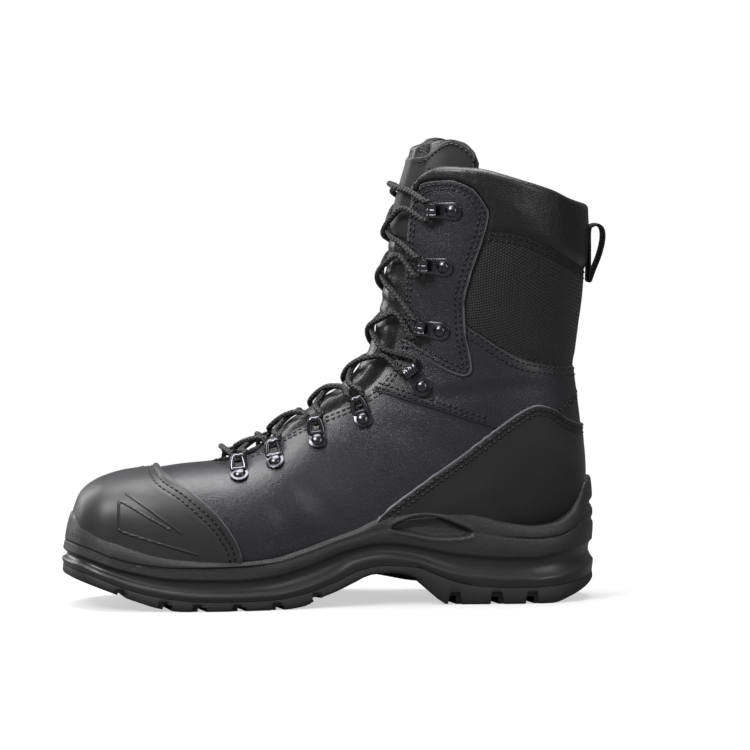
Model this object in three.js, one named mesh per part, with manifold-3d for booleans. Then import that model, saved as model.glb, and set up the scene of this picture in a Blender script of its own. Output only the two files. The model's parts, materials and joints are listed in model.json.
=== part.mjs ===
// A lace-up safety boot for the right foot, standing empty on its sole, with its laces done up.
// Millimetres, +Z up. The toe points to -X and the inner side, that of the big toe, faces -Y.
// The origin lies on the floor under the middle of the heel.
import * as THREE from 'three';
import { mergeVertices } from 'three/addons/utils/BufferGeometryUtils.js';
import Module from 'manifold-3d';

const wasm = await Module();
wasm.setup();

// Driving dimensions of the sole
const SOLE_LENGTH = 310;
const BALL_WIDTH = 112;
const HEEL_WIDTH = 78;
const HEEL_CENTRE = 44; // from the back of the sole to the middle of the heel
const RIM_HEIGHT = 47; // top of the sole's side, beside the heel
const SIDE_RELIEF = 3; // depth of the groove round the sole's side
const RIM_LEAN = 2.6; // how far the rim leans in from the sole's outline
const TOE_LEAN = 3.2; // further lean of the rim at the toe
const LUG_DEPTH = 5;
const LUG_GAP = 6;
const CHANNEL_WIDTH = 4;
const CENTRE_LUG_WIDTH = 27;
const LUG_SKEW = 12; // degrees that the side gaps sweep back

// Driving dimensions of the upper
const HEEL_SEAT = 31; // underside of the upper above the floor, at the heel
const INSTEP_HEIGHT = 124;
const COLLAR_HEIGHT = 252;
const COLLAR_WIDTH = 93;
const UPPER_WALL = 2.8;
const INSOLE_THICKNESS = 4.5;
const LASTING_MARGIN = 8; // width of the upper's turned-in edge on the sole
const THROAT_WIDTH = 44; // gap between the eyestays at the collar

// What lies on the upper
const LEATHER = 1.5; // thickness of the overlays
const CUFF_THICKNESS = 2.6;
const TONGUE_THICKNESS = 5;
const TONGUE_EDGE = 2.2;
const TONGUE_WIDTH = 100; // round the leg, at the collar
const LACE_DIAMETER = 4.2;
const RIVET_DIAMETER = 7.6;
const PLATE_THICKNESS = 1.2;
const RING_WIDTH = 11;
const RING_TIP_WIDTH = 7;
const RING_REACH = 12.5; // from the rivet to the tip
const RING_BAR = 1.8;
const HOOK_WIDTH = 10.6;
const HOOK_REACH = 14;
const HOOK_RISE = 6.5;
const LOOP_WIDTH = 14;
const LOOP_HEIGHT = 36;
const LOOP_REACH = 10;

const SEAT_GAP = 0.3; // what is left between pieces that touch

const DEGREE = Math.PI / 180;
const TOE = HEEL_CENTRE - SOLE_LENGTH; // the sole's tip, on X

// A short table: named columns, and a row for each section.
const table = (columns, rows) => {
  const names = columns.split(' ');
  return rows.map((row) => Object.fromEntries(names.map((name, i) => [name, row[i]])));
};

const clamp = (value, low, high) => Math.min(Math.max(value, low), high);
const ease = (value) => {
  const f = clamp(value, 0, 1);
  return f * f * (3 - 2 * f);
};
const mix = (a, b, share) => a + (b - a) * share;

// A smooth curve through one column of a table whose rows are numbered sections.
function atSection(rows, name, section) {
  const last = rows.length - 1;
  const i = clamp(Math.floor(section), 0, last - 1);
  const f = section - i;
  const [a, b, c, d] = [i - 1, i, i + 1, i + 2].map((k) => rows[clamp(k, 0, last)][name]);
  const cubic = (3 * (b - c) + d - a) * f + 2 * a - 5 * b + 4 * c - d;
  return b + (f / 2) * (c - a + f * cubic);
}

// A curve through one column against the column `at`, with no overshoot between its rows.
function atShare(rows, name, share) {
  const last = rows.length - 1;
  const x = clamp(share, rows[0].at, rows[last].at);
  const i = clamp(rows.findIndex((row) => row.at > x) - 1, 0, last - 1);
  const k = x >= rows[last].at ? last - 1 : i;
  const slope = (j) => (rows[j + 1][name] - rows[j][name]) / (rows[j + 1].at - rows[j].at);
  const tangent = (j) => {
    if (j === 0) return slope(0);
    if (j === last) return slope(last - 1);
    const [before, after] = [slope(j - 1), slope(j)];
    return before * after > 0 ? (2 * before * after) / (before + after) : 0;
  };
  const width = rows[k + 1].at - rows[k].at;
  const f = (x - rows[k].at) / width;
  const bulge = f * (1 - f) * width;
  const line = mix(rows[k][name], rows[k + 1][name], f * f * (3 - 2 * f));
  return line + bulge * ((1 - f) * tangent(k) - f * tangent(k + 1));
}

// Sections of the upper's outer form, from the toe over the instep and round the heel to the collar.
// base runs under the foot and up the back, crest runs over the toes and up the front.
// half is the half width, and the side columns move base and crest towards the outer side.
// widest is where along the section it is widest; low and high are how square it is below and above.
const COLUMNS = 'baseAt baseUp crestAt crestUp half baseSide crestSide widest low high';
// Lengths are shares of the sole's length, heel seat, instep height and ball width.
const FOOT = table(COLUMNS, [
  [0.018, 1.19, 0.018, 0.32, 0.027, -0.080, -0.080, 0.45, 2.2, 2.2],
  [0.021, 1.06, 0.022, 0.383, 0.094, -0.080, -0.080, 0.45, 2.4, 2.2],
  [0.028, 0.95, 0.029, 0.452, 0.156, -0.080, -0.080, 0.45, 2.7, 2.3],
  [0.042, 0.82, 0.042, 0.520, 0.223, -0.076, -0.078, 0.42, 3.0, 2.4],
  [0.068, 0.71, 0.069, 0.569, 0.286, -0.071, -0.075, 0.40, 3.4, 2.5],
  [0.106, 0.61, 0.110, 0.603, 0.335, -0.049, -0.066, 0.38, 3.8, 2.5],
  [0.155, 0.55, 0.158, 0.621, 0.384, -0.036, -0.058, 0.36, 4.0, 2.45],
  [0.213, 0.50, 0.223, 0.645, 0.420, -0.022, -0.050, 0.34, 4.0, 2.35],
  [0.281, 0.48, 0.297, 0.665, 0.445, -0.004, -0.045, 0.33, 4.0, 2.2],
  [0.355, 0.48, 0.358, 0.718, 0.446, 0.015, -0.040, 0.32, 4.0, 2.05],
  [0.426, 0.55, 0.419, 0.819, 0.418, 0.036, -0.036, 0.30, 4.0, 1.95],
  [0.516, 0.69, 0.477, 0.919, 0.370, 0.045, -0.036, 0.28, 3.8, 1.9],
  [0.613, 0.84, 0.526, 1.004, 0.330, 0.036, -0.032, 0.28, 3.6, 1.9],
  [0.710, 0.94, 0.561, 1.097, 0.312, 0.022, -0.027, 0.30, 3.4, 1.9],
]);
// Lengths are shares of the sole's length, heel seat, collar height and heel width.
const ANKLE = table(COLUMNS, [
  [0.800, 0.98, 0.581, 0.585, 0.442, 0.010, -0.026, 0.32, 3.2, 1.92],
  [0.871, 1.03, 0.592, 0.625, 0.448, 0.005, -0.019, 0.36, 2.9, 1.95],
  [0.926, 1.18, 0.600, 0.663, 0.454, 0.003, -0.013, 0.40, 2.6, 2.0],
  [0.960, 1.48, 0.605, 0.700, 0.465, 0, -0.006, 0.43, 2.4, 2.05],
]);
// Lengths are shares of the sole's length, collar height, collar height and collar width.
const SHAFT = table(COLUMNS, [
  [0.974, 0.242, 0.609, 0.736, 0.397, 0, 0, 0.46, 2.3, 2.1],
  [0.975, 0.317, 0.613, 0.772, 0.404, 0, 0, 0.48, 2.2, 2.1],
  [0.972, 0.393, 0.617, 0.808, 0.414, 0, 0, 0.49, 2.15, 2.15],
  [0.965, 0.466, 0.621, 0.843, 0.425, 0, 0, 0.50, 2.1, 2.2],
  [0.958, 0.540, 0.625, 0.881, 0.437, 0, 0, 0.50, 2.1, 2.2],
  [0.964, 0.615, 0.630, 0.921, 0.452, 0, 0, 0.50, 2.1, 2.2],
  [0.973, 0.702, 0.634, 0.960, 0.468, 0, 0, 0.50, 2.1, 2.2],
  [0.977, 0.794, 0.639, 1.000, 0.484, 0, 0, 0.50, 2.1, 2.2],
  [0.977, 0.881, 0.645, 1.040, 0.495, 0, 0, 0.50, 2.1, 2.2],
  [0.977, 0.960, 0.652, 1.080, 0.500, 0, 0, 0.50, 2.1, 2.2],
]);

const sized = (rows, baseHeight, crestHeight, width) =>
  rows.map((row) => ({
    baseX: TOE + row.baseAt * SOLE_LENGTH,
    baseZ: row.baseUp * baseHeight,
    crestX: TOE + row.crestAt * SOLE_LENGTH,
    crestZ: row.crestUp * crestHeight,
    half: row.half * width,
    baseY: row.baseSide * width,
    crestY: row.crestSide * width,
    widest: row.widest,
    low: row.low,
    high: row.high,
  }));
const SECTIONS = [
  ...sized(FOOT, HEEL_SEAT, INSTEP_HEIGHT, BALL_WIDTH),
  ...sized(ANKLE, HEEL_SEAT, COLLAR_HEIGHT, HEEL_WIDTH),
  ...sized(SHAFT, COLLAR_HEIGHT, COLLAR_HEIGHT, COLLAR_WIDTH),
];
const LAST_SECTION = SECTIONS.length - 1;

// A point of the upper's form. turn is 0 at the base and half a circle at the crest, inner side first.
function skin(section, turn) {
  const read = (name) => atSection(SECTIONS, name, section);
  const power = Math.cos(turn) >= 0 ? read('low') : read('high');
  const [c, g] = [Math.cos(turn), Math.sin(turn)];
  const reach = (Math.abs(c) ** power + Math.abs(g) ** power) ** (-1 / power);
  const widest = read('widest');
  const up = c >= 0 ? widest * (1 - c * reach) : widest - (1 - widest) * c * reach;
  return new THREE.Vector3(
    mix(read('baseX'), read('crestX'), up),
    mix(read('baseY'), read('crestY'), up) - read('half') * g * reach,
    mix(read('baseZ'), read('crestZ'), up),
  );
}

// The form's outward direction there.
function outward(section, turn) {
  const [ds, dt] = [0.02, 0.01];
  const low = clamp(section - ds, 0, LAST_SECTION);
  const high = clamp(section + ds, 0, LAST_SECTION);
  const lengthways = skin(high, turn).sub(skin(low, turn));
  const around = skin(section, turn + dt).sub(skin(section, turn - dt));
  return lengthways.cross(around).normalize();
}
const offSkin = (section, turn, out) =>
  skin(section, turn).addScaledVector(outward(section, turn), out);

// The angle from the crest at which a point stands `aside` from it, across the boot.
const angleAside = (section, aside) => Math.asin(clamp(aside / atSection(SECTIONS, 'half', section), 0, 0.97));

// Solids from vertices and triangles, from three.js geometry and from grids of points
function solidFrom(points, triangles) {
  const flat = new Float32Array(points.flatMap((p) => [p.x, p.y, p.z]));
  const make = (triVerts) => new wasm.Manifold(new wasm.Mesh({ numProp: 3, vertProperties: flat, triVerts }));
  const made = make(new Uint32Array(triangles.flat()));
  return made.volume() > 0 ? made : make(new Uint32Array(triangles.map(([a, b, c]) => [a, c, b]).flat()));
}

function solidOf(geometry) {
  const bare = geometry.index ? geometry.toNonIndexed() : geometry.clone();
  bare.deleteAttribute('normal');
  bare.deleteAttribute('uv');
  const merged = mergeVertices(bare, 1e-4);
  const position = merged.getAttribute('position');
  const points = Array.from({ length: position.count }, (_, i) => new THREE.Vector3().fromBufferAttribute(position, i));
  const index = merged.index.array;
  const triangles = Array.from({ length: index.length / 3 }, (_, i) => [...index.slice(3 * i, 3 * i + 3)]);
  return solidFrom(points, triangles);
}

// The biggest body of a solid that a cut may have left in several.
const largest = (solid) => solid.decompose().reduce((best, body) => (body.volume() > best.volume() ? body : best));

// Rings of equally many points, joined one to the next and closed with a fan at each end.
function ringSolid(rings) {
  const count = rings[0].length;
  const points = rings.flat();
  const triangles = [];
  for (let r = 0; r < rings.length - 1; r += 1) {
    for (let k = 0; k < count; k += 1) {
      const [a, b] = [r * count + k, r * count + ((k + 1) % count)];
      triangles.push([a, b, b + count], [a, b + count, a + count]);
    }
  }
  const fan = (ring, start, turned) => {
    const centre = points.length;
    points.push(ring.reduce((sum, p) => sum.add(p), new THREE.Vector3()).divideScalar(count));
    for (let k = 0; k < count; k += 1) {
      const [a, b] = [start + k, start + ((k + 1) % count)];
      triangles.push(turned ? [centre, b, a] : [centre, a, b]);
    }
  };
  fan(rings[0], 0, true);
  fan(rings.at(-1), (rings.length - 1) * count, false);
  return solidFrom(points, triangles);
}

// Two grids of points, one over the other, joined round their edge.
function sheetSolid(upper, lower) {
  const [rows, columns] = [upper.length, upper[0].length];
  const rings = [];
  for (let r = 0; r < rows; r += 1) rings.push([...upper[r], ...[...lower[r]].reverse()]);
  const points = rings.flat();
  const count = 2 * columns;
  const triangles = [];
  for (let r = 0; r < rows - 1; r += 1) {
    for (let k = 0; k < count; k += 1) {
      const [a, b] = [r * count + k, r * count + ((k + 1) % count)];
      triangles.push([a, b, b + count], [a, b + count, a + count]);
    }
  }
  const end = (start, turned) => {
    for (let k = 0; k < columns - 1; k += 1) {
      const [a, b, c, d] = [start + k, start + k + 1, start + count - 2 - k, start + count - 1 - k];
      triangles.push(...(turned ? [[a, c, b], [a, d, c]] : [[a, b, c], [a, c, d]]));
    }
  };
  end(0, true);
  end((rows - 1) * count, false);
  return solidFrom(points, triangles);
}

// The whole upper form, closed under the foot and carried on past the collar, moved outwards by `out`.
const AROUND = 18;
const ROWS = [...Array.from({ length: 19 }, (_, k) => k), 20, 22, 24, 25.5, LAST_SECTION];
function lastForm(out) {
  const ring = (section) =>
    Array.from({ length: AROUND }, (_, k) => offSkin(section, (2 * Math.PI * k) / AROUND, out));
  return ringSolid(ROWS.map(ring));
}

// A side view's outline, cut through the boot between two places across it.
function sidePrism(outline, fromY, toY) {
  const shape = new THREE.Shape(outline.map(([x, z]) => new THREE.Vector2(x, z)));
  const geometry = new THREE.ExtrudeGeometry(shape, { depth: toY - fromY, bevelEnabled: false });
  return solidOf(geometry.rotateX(Math.PI / 2).translate(0, toY, 0));
}

// A side view's outline from a table of shares of the sole's length and of a height.
const sideOutline = (rows, height) => rows.map(({ at, up }) => [TOE + at * SOLE_LENGTH, up * height]);
const FAR = SOLE_LENGTH; // well outside the boot
const WIDE = BALL_WIDTH;

// The sole's outline, from the toe tip along both edges to the heel tip.
const TOE_TIP_SIDE = -0.09; // share of the ball width
const SOLE_FRONT = table('innerAt inner outerAt outer', [
  [0.011, 0.241, 0.008, 0.036],
  [0.029, 0.326, 0.029, 0.156],
  [0.058, 0.388, 0.065, 0.263],
  [0.106, 0.431, 0.116, 0.348],
  [0.174, 0.470, 0.181, 0.419],
  [0.271, 0.496, 0.271, 0.479],
  [0.361, 0.473, 0.361, 0.507],
  [0.445, 0.415, 0.445, 0.498],
  [0.532, 0.360, 0.532, 0.457],
]);
const SOLE_BACK = table('innerAt inner outerAt outer', [
  [0.629, 0.481, 0.629, 0.582],
  [0.726, 0.481, 0.726, 0.533],
  [0.813, 0.500, 0.813, 0.510],
  [0.881, 0.495, 0.881, 0.482],
  [0.932, 0.431, 0.932, 0.420],
  [0.968, 0.314, 0.968, 0.308],
  [0.989, 0.173, 0.989, 0.167],
]);
const edgePoints = (at, side, sign) => {
  const point = (row, width) =>
    new THREE.Vector3(TOE + row[at] * SOLE_LENGTH, sign * row[side] * width, 0);
  return [
    ...SOLE_FRONT.map((row) => point(row, BALL_WIDTH)),
    ...SOLE_BACK.map((row) => point(row, HEEL_WIDTH)),
  ];
};
const SOLE_CURVE = new THREE.CatmullRomCurve3(
  [
    new THREE.Vector3(TOE, TOE_TIP_SIDE * BALL_WIDTH, 0),
    ...edgePoints('innerAt', 'inner', -1),
    new THREE.Vector3(HEEL_CENTRE, 0, 0),
    ...edgePoints('outerAt', 'outer', 1).reverse(),
  ],
  true,
  'centripetal',
);
const RIM_POINTS = 48;
// Points round the sole, each with its outward direction and its share of the length.
const OUTLINE = Array.from({ length: RIM_POINTS }, (_, k) => {
  const share = k / RIM_POINTS;
  const point = SOLE_CURVE.getPoint(share);
  const tangent = SOLE_CURVE.getTangent(share);
  return {
    point,
    out: new THREE.Vector3(-tangent.y, tangent.x, 0).normalize().negate(),
    at: (point.x - TOE) / SOLE_LENGTH,
    inner: clamp(0.5 - point.y / HEEL_WIDTH, 0, 1),
  };
});

// Heights along the sole, as shares of the rim's height beside the heel.
// tread is the underside; sole, ridge, groove and bumper are the lines round the side; then the rims.
const TREAD = table('at tread', [
  [0, 0.40], [0.03, 0.34], [0.08, 0.23], [0.13, 0.115], [0.175, 0.03], [0.215, 0], [0.40, 0],
  [0.44, 0.03], [0.47, 0.12], [0.50, 0.19], [0.54, 0.31], [0.565, 0.38], [0.60, 0.395],
  [0.64, 0.36], [0.665, 0.22], [0.69, 0.07], [0.71, 0], [0.905, 0], [0.95, 0.08], [1, 0.22],
]);
const SIDE = table('at sole ridge groove bumper rimInner rimOuter', [
  [0, 0.51, 0.59, 0.68, 0.80, 1.15, 1.15],
  [0.03, 0.46, 0.54, 0.64, 0.76, 1.07, 1.07],
  [0.08, 0.34, 0.42, 0.53, 0.65, 0.86, 0.86],
  [0.13, 0.23, 0.31, 0.45, 0.57, 0.735, 0.735],
  [0.19, 0.15, 0.23, 0.385, 0.525, 0.647, 0.647],
  [0.25, 0.115, 0.19, 0.37, 0.52, 0.608, 0.608],
  [0.31, 0.11, 0.185, 0.365, 0.53, 0.594, 0.60],
  [0.38, 0.12, 0.205, 0.395, 0.56, 0.628, 0.64],
  [0.44, 0.18, 0.28, 0.49, 0.66, 0.73, 0.72],
  [0.50, 0.31, 0.42, 0.63, 0.79, 0.86, 0.81],
  [0.54, 0.43, 0.55, 0.71, 0.86, 0.95, 0.87],
  [0.59, 0.49, 0.60, 0.755, 0.95, 1.095, 0.93],
  [0.65, 0.46, 0.55, 0.71, 0.97, 1.165, 0.98],
  [0.69, 0.36, 0.46, 0.65, 0.95, 1.183, 0.99],
  [0.73, 0.265, 0.38, 0.60, 0.92, 1.165, 0.99],
  [0.77, 0.22, 0.34, 0.575, 0.88, 1.09, 0.98],
  [0.82, 0.20, 0.32, 0.555, 0.82, 0.996, 0.96],
  [0.875, 0.20, 0.32, 0.555, 0.80, 0.955, 0.955],
  [0.915, 0.215, 0.34, 0.60, 0.82, 0.985, 0.985],
  [0.95, 0.245, 0.38, 0.64, 0.90, 1.095, 1.095],
  [0.967, 0.265, 0.41, 0.66, 0.98, 1.255, 1.255],
  [0.982, 0.285, 0.445, 0.68, 1.06, 1.425, 1.425],
  [1, 0.32, 0.48, 0.70, 1.12, 1.51, 1.51],
]);
const treadAt = (x) => atShare(TREAD, 'tread', (x - TOE) / SOLE_LENGTH) * RIM_HEIGHT;
const lineAt = (name, spot) => atShare(SIDE, name, spot.at) * RIM_HEIGHT;
const rimAt = (spot) => mix(lineAt('rimOuter', spot), lineAt('rimInner', spot), ease(spot.inner));

// A solid of the sole's outline through levels, each a height and an outward step round the outline.
function soleSolid(levels) {
  const half = RIM_POINTS / 2;
  const rings = levels.map((level) =>
    OUTLINE.map((spot) => {
      const { up, out } = level(spot);
      const point = spot.point.clone().addScaledVector(spot.out, out);
      return new THREE.Vector3(point.x, point.y, up);
    }),
  );
  const points = rings.flat();
  const triangles = [];
  for (let r = 0; r < rings.length - 1; r += 1) {
    for (let k = 0; k < RIM_POINTS; k += 1) {
      const [a, b] = [r * RIM_POINTS + k, r * RIM_POINTS + ((k + 1) % RIM_POINTS)];
      triangles.push([a, b, b + RIM_POINTS], [a, b + RIM_POINTS, a + RIM_POINTS]);
    }
  }
  // A cap runs across the sole between the two points that stand opposite each other.
  const cap = (start, turned) => {
    for (let k = 0; k < half; k += 1) {
      const [a, b] = [start + k, start + k + 1];
      const [c, d] = [start + ((RIM_POINTS - k - 1) % RIM_POINTS), start + ((RIM_POINTS - k) % RIM_POINTS)];
      if (k < half - 1) triangles.push(turned ? [a, c, b] : [a, b, c]);
      if (k > 0) triangles.push(turned ? [a, d, c] : [a, c, d]);
    }
  };
  cap(0, true);
  cap((rings.length - 1) * RIM_POINTS, false);
  return solidFrom(points, triangles);
}

const toeShare = (spot) => 1 - ease(spot.at / 0.12);
// The upper part of the sole as a full block, its rim raised by `more`.
const midsoleBlock = (more) =>
  soleSolid([
    (spot) => ({ up: lineAt('sole', spot) + SEAT_GAP, out: -0.25 * SIDE_RELIEF }),
    (spot) => ({ up: lineAt('ridge', spot), out: 0 }),
    (spot) => ({ up: mix(lineAt('ridge', spot), lineAt('groove', spot), 0.4), out: -SIDE_RELIEF }),
    (spot) => ({ up: lineAt('groove', spot), out: -0.7 * SIDE_RELIEF }),
    (spot) => ({ up: lineAt('groove', spot) + 0.5 * SIDE_RELIEF, out: -0.2 * SIDE_RELIEF }),
    (spot) => ({ up: lineAt('bumper', spot), out: -0.2 * SIDE_RELIEF - 0.3 * TOE_LEAN * toeShare(spot) }),
    (spot) => ({ up: rimAt(spot) - 0.5 * SIDE_RELIEF, out: -0.6 * RIM_LEAN - TOE_LEAN * toeShare(spot) }),
    (spot) => ({ up: rimAt(spot) + more, out: -RIM_LEAN - TOE_LEAN * toeShare(spot) }),
  ]);

// A slab under the foot between two section numbers, `inset` from the form's sides.
function footSlab(inset, below, above) {
  const [first, last, steps] = [4, 15, 11];
  const rows = Array.from({ length: steps + 1 }, (_, k) => mix(first, last, k / steps));
  const level = (rise) =>
    rows.map((section) => {
      const read = (name) => atSection(SECTIONS, name, section);
      return [-1, 1].map((side) => {
        const y = read('baseY') + side * (read('half') - inset);
        return new THREE.Vector3(read('baseX'), y, read('baseZ') + rise);
      });
    });
  return sheetSolid(level(above), level(-below));
}

function makeMidsole() {
  const platform = footSlab(LASTING_MARGIN + SEAT_GAP, 2 * UPPER_WALL + LUG_DEPTH, UPPER_WALL);
  const hollow = lastForm(SEAT_GAP).subtract(platform);
  return midsoleBlock(0).subtract(hollow);
}

// Lugs of the tread: the outsole less gaps from both sides, two channels and gaps in the middle row.
const SIDE_GAPS = [0.098, 0.177, 0.239, 0.312, 0.386, 0.462, 0.722, 0.80, 0.866];
const CENTRE_GAPS = [0.144, 0.214, 0.282, 0.355, 0.43, 0.761, 0.833, 0.905];
const CHANNELS = [[0.09, 0.50], [0.67, 0.94]];

// How deep the tread is cut there: a full lug, or this share of a thinner sole.
const THIN_CUT = 0.45;
function cutDepth(x) {
  const thickness = lineAt('sole', { at: (x - TOE) / SOLE_LENGTH }) - treadAt(x);
  return Math.min(LUG_DEPTH, THIN_CUT * thickness);
}

function gapCutter(at, fromY, toY, skew) {
  const x = TOE + at * SOLE_LENGTH;
  const step = 0.5 * LUG_GAP;
  const slope = Math.atan2(treadAt(x + step) - treadAt(x - step), 2 * step);
  const height = 4 * LUG_DEPTH;
  const box = new THREE.BoxGeometry(LUG_GAP, Math.abs(toY - fromY), height);
  box.translate(0, 0, cutDepth(x) - height / 2).rotateY(-slope).rotateZ(skew);
  return solidOf(box.translate(x, (fromY + toY) / 2, treadAt(x)));
}

function channelCutter([from, to], middle) {
  const steps = 6;
  const level = (rise) =>
    Array.from({ length: steps + 1 }, (_, k) => {
      const x = TOE + mix(from, to, k / steps) * SOLE_LENGTH;
      return [-0.5, 0.5].map((side) =>
        new THREE.Vector3(x, middle + side * CHANNEL_WIDTH, treadAt(x) + rise(x)));
    });
  return sheetSolid(level(cutDepth), level(() => -2 * LUG_DEPTH));
}

function makeOutsole() {
  const body = soleSolid([
    (spot) => ({ up: treadAt(spot.point.x), out: -0.5 * SIDE_RELIEF }),
    (spot) => ({ up: treadAt(spot.point.x) + 0.3 * LUG_DEPTH, out: -0.1 * SIDE_RELIEF }),
    (spot) => ({ up: lineAt('sole', spot), out: -0.2 * SIDE_RELIEF }),
  ]);
  const channel = CENTRE_LUG_WIDTH / 2;
  const edge = 0.6 * BALL_WIDTH;
  const cutters = [
    ...SIDE_GAPS.flatMap((at) => [
      gapCutter(at, -edge, -channel, LUG_SKEW * DEGREE),
      gapCutter(at, channel, edge, -LUG_SKEW * DEGREE),
    ]),
    ...CENTRE_GAPS.map((at) => gapCutter(at, -channel, channel, 0)),
    ...CHANNELS.flatMap((span) => [channelCutter(span, -channel), channelCutter(span, channel)]),
  ];
  return cutters.reduce((solid, cutter) => solid.subtract(cutter), body);
}

// The collar's top edge, seen from the side.
const COLLAR_LINE = table('at up', [
  [0.60, 0.90], [0.632, 0.925], [0.655, 0.962], [0.672, 0.988], [0.70, 0.999], [0.765, 0.993],
  [0.84, 0.968], [0.90, 0.945], [0.95, 0.919], [1.06, 0.885],
]);
function aboveCollar() {
  const line = sideOutline(COLLAR_LINE, COLLAR_HEIGHT);
  return sidePrism([...line, [FAR, line.at(-1)[1]], [FAR, FAR + COLLAR_HEIGHT], [-FAR, FAR + COLLAR_HEIGHT], [-FAR, line[0][1]]], -WIDE, WIDE);
}

// Half the throat's width from its lower end to the collar, as shares of the throat's width.
const THROAT = table('at half', [
  [7.75, 0.03], [7.95, 0.16], [8.3, 0.24], [9.5, 0.31], [11.5, 0.38], [14, 0.43], [20, 0.46], [27, 0.52],
]);
const throatHalf = (section) => atShare(THROAT, 'half', section) * THROAT_WIDTH;
const throatAngle = (section) => angleAside(section, throatHalf(section));

// A piece of the form between sections, as wide on each side of the crest as `width` says.
function crestSheet(from, to, steps, across, width, high, low) {
  const grid = (height) =>
    Array.from({ length: steps + 1 }, (_, r) => {
      const section = mix(from, to, r / steps);
      return Array.from({ length: across + 1 }, (_, k) => {
        const share = (2 * k) / across - 1;
        return offSkin(section, Math.PI + share * width(section), height(section, share));
      });
    });
  return sheetSolid(grid(high), grid(low));
}
const throatCutter = () =>
  crestSheet(THROAT[0].at, LAST_SECTION, 16, 2, throatAngle, () => 4 * LEATHER, () => -4 * UPPER_WALL);

function makeUpper() {
  const opening = footSlab(LASTING_MARGIN, 2 * UPPER_WALL, 2 * UPPER_WALL);
  return [aboveCollar(), throatCutter(), opening].reduce(
    (solid, cutter) => solid.subtract(cutter),
    lastForm(0).subtract(lastForm(-UPPER_WALL)),
  );
}

// A panel that lies on the upper, inside a side view's outline, down to the sole's rim.
function overlay(outline, thickness, fromY, toY) {
  const layer = lastForm(SEAT_GAP + thickness).subtract(lastForm(SEAT_GAP));
  return largest([aboveCollar(), throatCutter(), midsoleBlock(SEAT_GAP)].reduce(
    (solid, cutter) => solid.subtract(cutter),
    layer.intersect(sidePrism(outline, fromY, toY)),
  ));
}

// Outlines of the overlays, seen from the side: shares of the sole's length and of the height named below.
const TOE_CAP_EDGE = table('at up', [
  [0.16, 0.72], [0.158, 0.637], [0.164, 0.602], [0.193, 0.531], [0.228, 0.454], [0.255, 0.393],
  [0.278, 0.321], [0.293, 0.267], [0.299, 0.2],
]);
const COUNTER_EDGE = table('at up', [
  [0.56, 0.15], [0.583, 0.204], [0.663, 0.278], [0.729, 0.335], [0.798, 0.399], [0.835, 0.432],
  [0.859, 0.448], [0.876, 0.453], [0.892, 0.449], [0.908, 0.442], [0.937, 0.417], [0.985, 0.397], [1.06, 0.39],
]);
const EYESTAY = table('at up', [
  [0.50, 0.593], [0.63, 0.590], [0.682, 0.552], [0.723, 0.527], [0.742, 0.523], [0.753, 0.535],
  [0.751, 0.562], [0.745, 0.596], [0.741, 0.629], [0.739, 0.698], [0.745, 0.732], [0.752, 0.766],
  [0.770, 0.834], [0.780, 0.888], [0.774, 0.911], [0.752, 0.947], [0.723, 0.964], [0.702, 0.966],
  [0.668, 0.958], [0.645, 0.93], [0.50, 0.92],
]);
const CUFF_EDGE = table('at up', [
  [0.50, 0.90], [0.68, 0.88], [0.774, 0.854], [0.829, 0.846], [0.886, 0.821], [0.927, 0.792], [0.985, 0.753],
  [1.06, 0.71],
]);
// What moves an outline's points away from its middle by a small step, so that a neighbour clears it.
function grown(outline, step) {
  const middle = outline.reduce(([x, z], p) => [x + p[0] / outline.length, z + p[1] / outline.length], [0, 0]);
  return outline.map(([x, z]) => {
    const away = new THREE.Vector2(x - middle[0], z - middle[1]).setLength(step);
    return [x + away.x, z + away.y];
  });
}

const eyestayOutline = sideOutline(EYESTAY, COLLAR_HEIGHT);
const makeEyestay = (side) =>
  side < 0 ? overlay(eyestayOutline, LEATHER, -WIDE, 0) : overlay(eyestayOutline, LEATHER, 0, WIDE);

const makeToeCap = () =>
  overlay([...sideOutline(TOE_CAP_EDGE, INSTEP_HEIGHT), [-FAR, 0], [-FAR, FAR]], LEATHER, -WIDE, WIDE);

function makeCounter() {
  const edge = sideOutline(COUNTER_EDGE, COLLAR_HEIGHT);
  return overlay([...edge, [FAR, edge.at(-1)[1]], [FAR, 0], [edge[0][0], 0]], LEATHER, -WIDE, WIDE);
}

function makeCuff() {
  const edge = sideOutline(CUFF_EDGE, COLLAR_HEIGHT);
  const outline = [...edge, [FAR, edge.at(-1)[1]], [FAR, 2 * FAR], [-FAR, 2 * FAR], [-FAR, edge[0][1]]];
  const gap = sidePrism(grown(eyestayOutline, 2 * SEAT_GAP), -WIDE, WIDE);
  return largest(overlay(outline, CUFF_THICKNESS, -WIDE, WIDE).subtract(gap));
}

// The tongue lies under the throat's edges and swells up between them.
const TONGUE_FROM = 8.1;
const TONGUE_SIDE = table('at half', [
  [8.1, 0.16], [9, 0.24], [12, 0.32], [16, 0.40], [20, 0.48], [23, 0.56], [27, 0.58],
]);
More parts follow.
